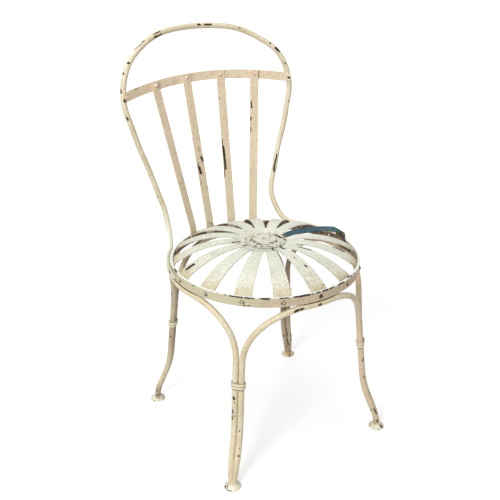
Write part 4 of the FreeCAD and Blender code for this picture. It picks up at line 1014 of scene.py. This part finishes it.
def rivet_ring_dirt_and_shade(enamel, seat):
    """A mask of a broken ring of dirt and painted shade on the rim round each rivet's head, heavier
    below.
    """
    graph = enamel.graph
    up, beside = off_rivet(enamel, seat)
    ring = graph.apart(beside, RIVET_RING)
    ring = graph.ramp(ring, *RIVET_RING_OFF, floor=1.0, ceiling=0.0)
    ring = graph.times(ring, graph.ramp(up, *RIVET_LOW_OFF, ceiling=0.6))
    broken = enamel.clouds(scale=240.0, low=0.38, high=0.5, detail=2.0, roughness=0.5)
    return graph.times(ring, broken)


OLIVE_RIM_ACROSS = (-0.08, -0.17)
PINK_RIM_ACROSS = (0.06, 0.16)
TOP_FACING = (0.3, 0.7)
TOP_OFF = (-0.003, -0.0008)
OUTER_OFF = (-0.0025, -0.0008)
CORNER_DROP = 0.0009
CORNER_INSET = 0.0004


def rim_corner(point):
    """The nearest place to a point on the upper outer corner of the rim."""
    out = Vector((point.x - seat_axis.x, point.y - seat_axis.y, 0.0)).normalized()
    top = Vector((seat_axis.x, seat_axis.y, rim_top - CORNER_DROP))
    return top + out * (rim_radius - CORNER_INSET)


def rim_enamel():
    """The rim's enamel: beige outside, olive at the left and pink at the right, pale on top with
    its outer corner chipped, brown inside, and dark round each rivet's head with dirt and painted
    shade."""
    enamel = Paint("rim_enamel")
    graph = enamel.graph
    enamel.tone(
        RIM_BEIGE, RIM_PALE, RIM_DEEP, scale=16.0, pale_share=0.7, deep_share=0.4, grain=0.75
    )
    seat = enamel.seat()
    across = enamel.at("X")
    enamel.cover(graph.ramp(across, *OLIVE_RIM_ACROSS, ceiling=0.8), RIM_OLIVE)
    enamel.cover(graph.ramp(across, *PINK_RIM_ACROSS, ceiling=0.8), RIM_PINK)
    enamel.shelter(seat)
    inner = pieces("seat_rim", "seat_slat")
    enamel.stain_and_painted_light_marks(inner, INNER_DARK, DARK_GRIME_AND_SHADE)
    enamel.stain_and_painted_light_marks(inner, INNER_YELLOW, OLD_YELLOW)
    enamel.cover(graph.ramp(enamel.upward(), *TOP_FACING), RIM_WHITE)
    # Dirt and painted shade round each rivet's head, heavier below, in near-black.
    enamel.cover(rivet_ring_dirt_and_shade(enamel, seat), BARE_STEEL_AND_SHADE)
    near_top = graph.ramp(enamel.at("Z"), *span_from(rim_top, TOP_OFF))
    outer = graph.ramp(seat["Radius"], *span_from(rim_radius, OUTER_OFF))
    corner = graph.times(near_top, outer)
    enamel.scatter(scale=150.0, cover=0.16, gather=0.9, within=corner)
    enamel.scatter(scale=230.0, cover=0.03, gather=0.5)
    enamel.chip_and_shadow_marks(["seat_rim"], RIM_MARKS)
    for start, end, half_width in places_of(["seat_rim"], RIM_DASHES):
        dash = enamel.mark(rim_corner(start), rim_corner(end), half_width, CHIP_AND_SHADOW_RAGGED)
        enamel.chip(dash)
    return enamel.finish(
        roughness=0.5, rust_share=0.25, relief_scale=80.0, relief_depth=0.0005, peel=0.6
    )


def rivet_enamel():
    """The rim's rivets: their heads' edges as the rim's paint, a ring of dirt and painted shade on
    them, darker below, and a painted highlight on the top inside it."""
    enamel = Paint("rivet_enamel")
    graph = enamel.graph
    enamel.tone(
        RIM_BEIGE, RIM_PALE, RIM_DEEP, scale=60.0, pale_share=0.6, deep_share=0.5, grain=0.4
    )
    up, beside = off_rivet(enamel, enamel.seat())
    broken = enamel.clouds(scale=240.0, low=0.38, high=0.5, floor=0.5, detail=2.0, roughness=0.5)
    # A ring of dirt and painted shade on each head, darker towards its lower side.
    ring = graph.times(graph.ramp(graph.apart(beside, HEAD_RING), *HEAD_RING_OFF), broken)
    low = graph.ramp(up, *HEAD_LOW_OFF, floor=0.55)
    enamel.cover(graph.times(ring, low), BARE_STEEL_AND_SHADE)
    # A painted highlight on the top of each head.
    enamel.cover(graph.ramp(beside, *HEAD_HIGHLIGHT_OFF, ceiling=0.45), RIM_WHITE)
    enamel.chip_and_shadow_marks(["rim_rivets"], RIVET_MARKS)
    return enamel.finish(
        roughness=0.4, rust_share=0.3, relief_scale=120.0, relief_depth=0.0004, peel=0.4
    )


PALE_SEAT_ACROSS = (0.02, 0.12)
FAINT_YELLOW_OUT = (0.12, 0.2)
YELLOW_OUT = (0.2, 0.236)
TAN_SPECKS_OUT = (0.19, 0.23)


def seat_paint(enamel):
    """Thick off-white paint of the seat, mottled, yellow and speckled towards the rim; returns
    where the surface lies on the seat."""
    graph = enamel.graph
    enamel.tone(
        SEAT_WHITE, SEAT_PALE, SEAT_DEEP, scale=26.0, pale_share=0.65, deep_share=0.25, grain=0.75
    )
    enamel.cover(graph.ramp(enamel.at("X"), *PALE_SEAT_ACROSS, ceiling=0.55), SEAT_PALE)
    seat = enamel.seat()
    reach = enamel.uneven_reach(seat, scale=50.0, swing=0.05)
    enamel.cover(graph.ramp(reach, *FAINT_YELLOW_OUT, ceiling=0.12), SEAT_YELLOW)
    enamel.cover(graph.ramp(reach, *YELLOW_OUT, ceiling=0.7), SEAT_YELLOW)
    specks = enamel.clouds(scale=330.0, low=0.5, high=0.6, detail=2.0)
    near_rim = graph.ramp(reach, *TAN_SPECKS_OUT, ceiling=0.6)
    enamel.cover(graph.times(specks, near_rim), TAN)
    return seat


SLATS_PART_OUT = 0.057
SLAT_HALF_WIDTHS = (0.011, 0.019)
SLAT_EDGE_OFF = (0.004, 0.00176)
SLAT_EDGE_RAGGED = 0.0064
SLAT_EDGE_GRIME_AND_SHADE = 0.6


def slat_edges(enamel, seat):
    """A mask of the slats' long edges, where dirt and painted shade lie, broken by noise. A slat
    widens evenly from where it parts from its neighbours to the rim."""
    graph = enamel.graph
    widening = {
        "Value": seat["Radius"],
        "From Min": SLATS_PART_OUT,
        "From Max": rim_radius,
        "To Min": SLAT_HALF_WIDTHS[0],
        "To Max": SLAT_HALF_WIDTHS[1],
    }
    half_width = graph.add("ShaderNodeMapRange", widening).outputs["Result"]
    inset = graph.math("SUBTRACT", half_width, graph.math("ABSOLUTE", seat["Across"]))
    ragged = graph.times(graph.noise(enamel.place, scale=130.0), SLAT_EDGE_RAGGED)
    return graph.ramp(graph.math("ADD", inset, ragged), *SLAT_EDGE_OFF)


def seat_enamel():
    """Enamel of the seat's slats, darker along their edges with dirt and painted shade, and brown
    on their sheltered side.
    """
    enamel = Paint("seat_enamel")
    seat = seat_paint(enamel)
    # Dirt and painted shade along the slats' edges.
    edges = enamel.graph.times(slat_edges(enamel, seat), SLAT_EDGE_GRIME_AND_SHADE)
    enamel.cover(edges, GRIME_AND_SHADE)
    enamel.shelter(seat)
    slats = pieces("seat_slat")
    inner = pieces("seat_rim", "seat_slat")
    enamel.stain_and_painted_light_marks(slats, ROOT_TAN, TAN)
    enamel.stain_and_painted_light_marks(slats, ROOT_BROWN, DARK_GRIME_AND_SHADE)
    enamel.stain_and_painted_light_marks(inner, INNER_DARK, DARK_GRIME_AND_SHADE)
    enamel.stain_and_painted_light_marks(inner, INNER_YELLOW, OLD_YELLOW)
    enamel.scatter(scale=230.0, cover=0.02, gather=0.5)
    # Chips of the seat's slats, and painted shadow in the gaps near the hub drawn as chips.
    enamel.chip_and_shadow_marks(slats, SEAT_MARKS)
    return enamel.finish(
        roughness=0.5, rust_share=0.3, relief_scale=70.0, relief_depth=0.0007, peel=0.7
    )


HUB_RIVETS_OUT = 0.037
HUB_RING = 0.0038
HUB_RING_OFF = (0.0022, 0.001)
CAP_EDGE_OUT = 0.0268
CAP_EDGE_OFF = (0.0028, 0.0014)
DISC_EDGE_OUT = 0.0445
DISC_EDGE_OFF = (0.0024, 0.0012)
STEEP_SHADE_FACING = (0.5, 0.2)
PIT_SHARE = 0.55


def hub_enamel():
    """Enamel of the hub: greyer stains, painted shade where it is steep, and dark pits round its
    rivets and along the edges of its cap and disc."""
    enamel = Paint("hub_enamel")
    graph = enamel.graph
    seat = seat_paint(enamel)
    out = graph.math("SUBTRACT", seat["Radius"], HUB_RIVETS_OUT)
    ring = graph.apart(graph.diagonal(out, seat["Across"]), HUB_RING)
    cap = graph.apart(seat["Radius"], CAP_EDGE_OUT)
    disc = graph.apart(seat["Radius"], DISC_EDGE_OUT)
    pits = graph.most(
        graph.ramp(ring, *HUB_RING_OFF),
        graph.ramp(cap, *CAP_EDGE_OFF),
        graph.ramp(disc, *DISC_EDGE_OFF),
    )
    pits = graph.times(pits, enamel.clouds(scale=260.0, low=0.54, high=0.59, detail=2.0))
    enamel.cover(enamel.clouds(scale=110.0, low=0.46, high=0.64, ceiling=0.6), HUB_GREY)
    # Painted shade on the hub's steep faces, in the grime colour.
    enamel.cover(graph.ramp(enamel.upward(), *STEEP_SHADE_FACING, ceiling=0.6), GRIME_AND_SHADE)
    enamel.cover(graph.times(pits, PIT_SHARE), DARK_GRIME_AND_SHADE)
    names = pieces("hub_")
    enamel.stain_and_painted_light_marks(names, [*HUB_STAINS, *ROOT_TAN], TAN)
    enamel.stain_and_painted_light_marks(names, [*HUB_PITS, *ROOT_BROWN], DARK_GRIME_AND_SHADE)
    return enamel.finish(
        roughness=0.5, rust_share=0.5, relief_scale=110.0, relief_depth=0.0008, peel=0.7
    )


SHOULDER_OUT = (0.172, 0.19)
WORN_OFF_RIM = (0.016, 0.010)
ODD_ROOT_OUT = (0.075, 0.064)


def teal_enamel():
    """The odd slat: blue-green enamel, turquoise at its shoulder, worn black towards the rim and
    grimy at its root."""
    enamel = Paint("teal_enamel")
    graph = enamel.graph
    enamel.tone(
        TEAL, TURQUOISE, DEEP_TEAL, scale=24.0, pale_share=0.4, deep_share=0.6, grain=0.4
    )
    seat = enamel.seat()
    reach = enamel.uneven_reach(seat, scale=70.0, swing=0.03)
    enamel.cover(graph.ramp(reach, *SHOULDER_OUT, ceiling=0.8), TURQUOISE)
    enamel.cover(graph.ramp(enamel.at("Z"), *span_from(rim_top, WORN_OFF_RIM)), BARE_STEEL_AND_SHADE)
    enamel.shelter(seat)
    enamel.cover(graph.ramp(reach, *ODD_ROOT_OUT), GRIME_AND_SHADE)
    enamel.stain_and_painted_light_marks([ODD_SLAT], TEAL_DARK, DEEP_TEAL)
    enamel.stain_and_painted_light_marks([ODD_SLAT], TEAL_YELLOW, OLD_YELLOW)
    enamel.scatter(scale=200.0, cover=0.05, gather=0.6)
    return enamel.finish(roughness=0.6, rust_share=0.5, relief_scale=70.0, relief_depth=0.0006)


def foot_enamel():
    """Paint of the feet: whiter than the legs, with ochre and rust coming through."""
    enamel = Paint("foot_enamel")
    enamel.tone(
        FOOT_WHITE, RIM_WHITE, OCHRE, scale=60.0, pale_share=0.7, deep_share=0.2, grain=0.6
    )
    names = pieces("foot_")
    enamel.stain_and_painted_light_marks(names, FOOT_OCHRE, OCHRE)
    enamel.scatter(scale=260.0, cover=0.07, gather=0.8)
    enamel.chip_and_shadow_marks(names, FOOT_MARKS)
    return enamel.finish(roughness=0.45, rust_share=0.7, relief_scale=90.0, relief_depth=0.0006)


def dress_chair():
    """Gives every node its material."""
    dress(hoop_enamel(), ["back_hoop", "hoop_end_rivets"])
    dress(leg_enamel(), pieces("leg_arch"))
    dress(collar_enamel(), pieces("leg_collar"))
    dress(foot_enamel(), pieces("foot_"))
    dress(back_enamel(), pieces("back_slat", "cross_band"))
    dress(rim_enamel(), ["seat_rim"])
    dress(rivet_enamel(), ["rim_rivets"])
    dress(seat_enamel(), [name for name in pieces("seat_slat") if name != ODD_SLAT])
    dress(hub_enamel(), pieces("hub_"))
    dress(teal_enamel(), [ODD_SLAT])


# Studio

FLOOR_HALF = 30.0
FLOOR_GREY = (0.6, 0.6, 0.6, 1.0)
FLOOR_ROUGHNESS = 0.9
GLOW_REACH = (0.5, 1.8)
FLOOR_GLOW = (0.58, 0.92)
WORLD_STRENGTH = 0.25
LAMP_AIM = Vector((0.0, 0.0, 0.45))
DAYLIGHT = (1.0, 1.0, 1.0)
WARM_LIGHT = (1.0, 0.84, 0.7)
LAMPS = (
    # Name, place, width, watts and colour
    ("key_lamp", (-3.2, -2.1, 2.8), 1.6, 122.0, DAYLIGHT),
    ("top_lamp", (-0.4, 0.2, 3.8), 2.2, 50.0, DAYLIGHT),
    ("warm_lamp", (2.4, -3.0, 1.4), 2.4, 12.0, WARM_LIGHT),
)


def seen_white(graph):
    """A mask of camera, mirror and glass rays, which see a white studio."""
    rays = graph.add("ShaderNodeLightPath").outputs
    return graph.most(
        rays["Is Camera Ray"], rays["Is Glossy Ray"], rays["Is Transmission Ray"]
    )


def make_floor():
    """A pale floor that keeps the chair's shadow and otherwise glows white to the lens."""
    bpy.ops.mesh.primitive_plane_add(size=2 * FLOOR_HALF)
    floor = bpy.context.object
    floor.name = "floor"
    material = bpy.data.materials.new("floor_white")
    material.use_nodes = True
    graph = Graph(material.node_tree)
    shader = material.node_tree.nodes["Principled BSDF"].inputs
    away = graph.vector("LENGTH", graph.add("ShaderNodeTexCoord").outputs["Object"])
    glow = graph.ramp(away, *GLOW_REACH, *FLOOR_GLOW)
    graph.feed(shader["Base Color"], FLOOR_GREY)
    graph.feed(shader["Roughness"], FLOOR_ROUGHNESS)
    graph.feed(shader["Emission Color"], WHITE)
    graph.feed(shader["Emission Strength"], graph.times(seen_white(graph), glow))
    floor.data.materials.append(material)


def make_world():
    """A dim white sky, which the lens and reflections see at full strength."""
    world = bpy.data.worlds.new("studio")
    bpy.context.scene.world = world
    world.use_nodes = True
    graph = Graph(world.node_tree)
    background = world.node_tree.nodes["Background"].inputs
    strength = graph.ramp(seen_white(graph), 0.0, 1.0, WORLD_STRENGTH, 1.0)
    graph.feed(background["Color"], WHITE)
    graph.feed(background["Strength"], strength)


def make_lamps():
    """Soft round lamps that face the seat."""
    for name, place, width, watts, colour in LAMPS:
        data = bpy.data.lights.new(name, "AREA")
        data.shape = "DISK"
        data.size = width
        data.energy = watts
        data.color = colour
        lamp = bpy.data.objects.new(name, data)
        lamp.location = place
        lamp.rotation_euler = (LAMP_AIM - lamp.location).to_track_quat("-Z", "Y").to_euler()
        bpy.context.scene.collection.objects.link(lamp)


make_camera()
dress_chair()
make_floor()
make_world()
make_lamps()
bpy.context.scene.view_settings.view_transform = "Standard"
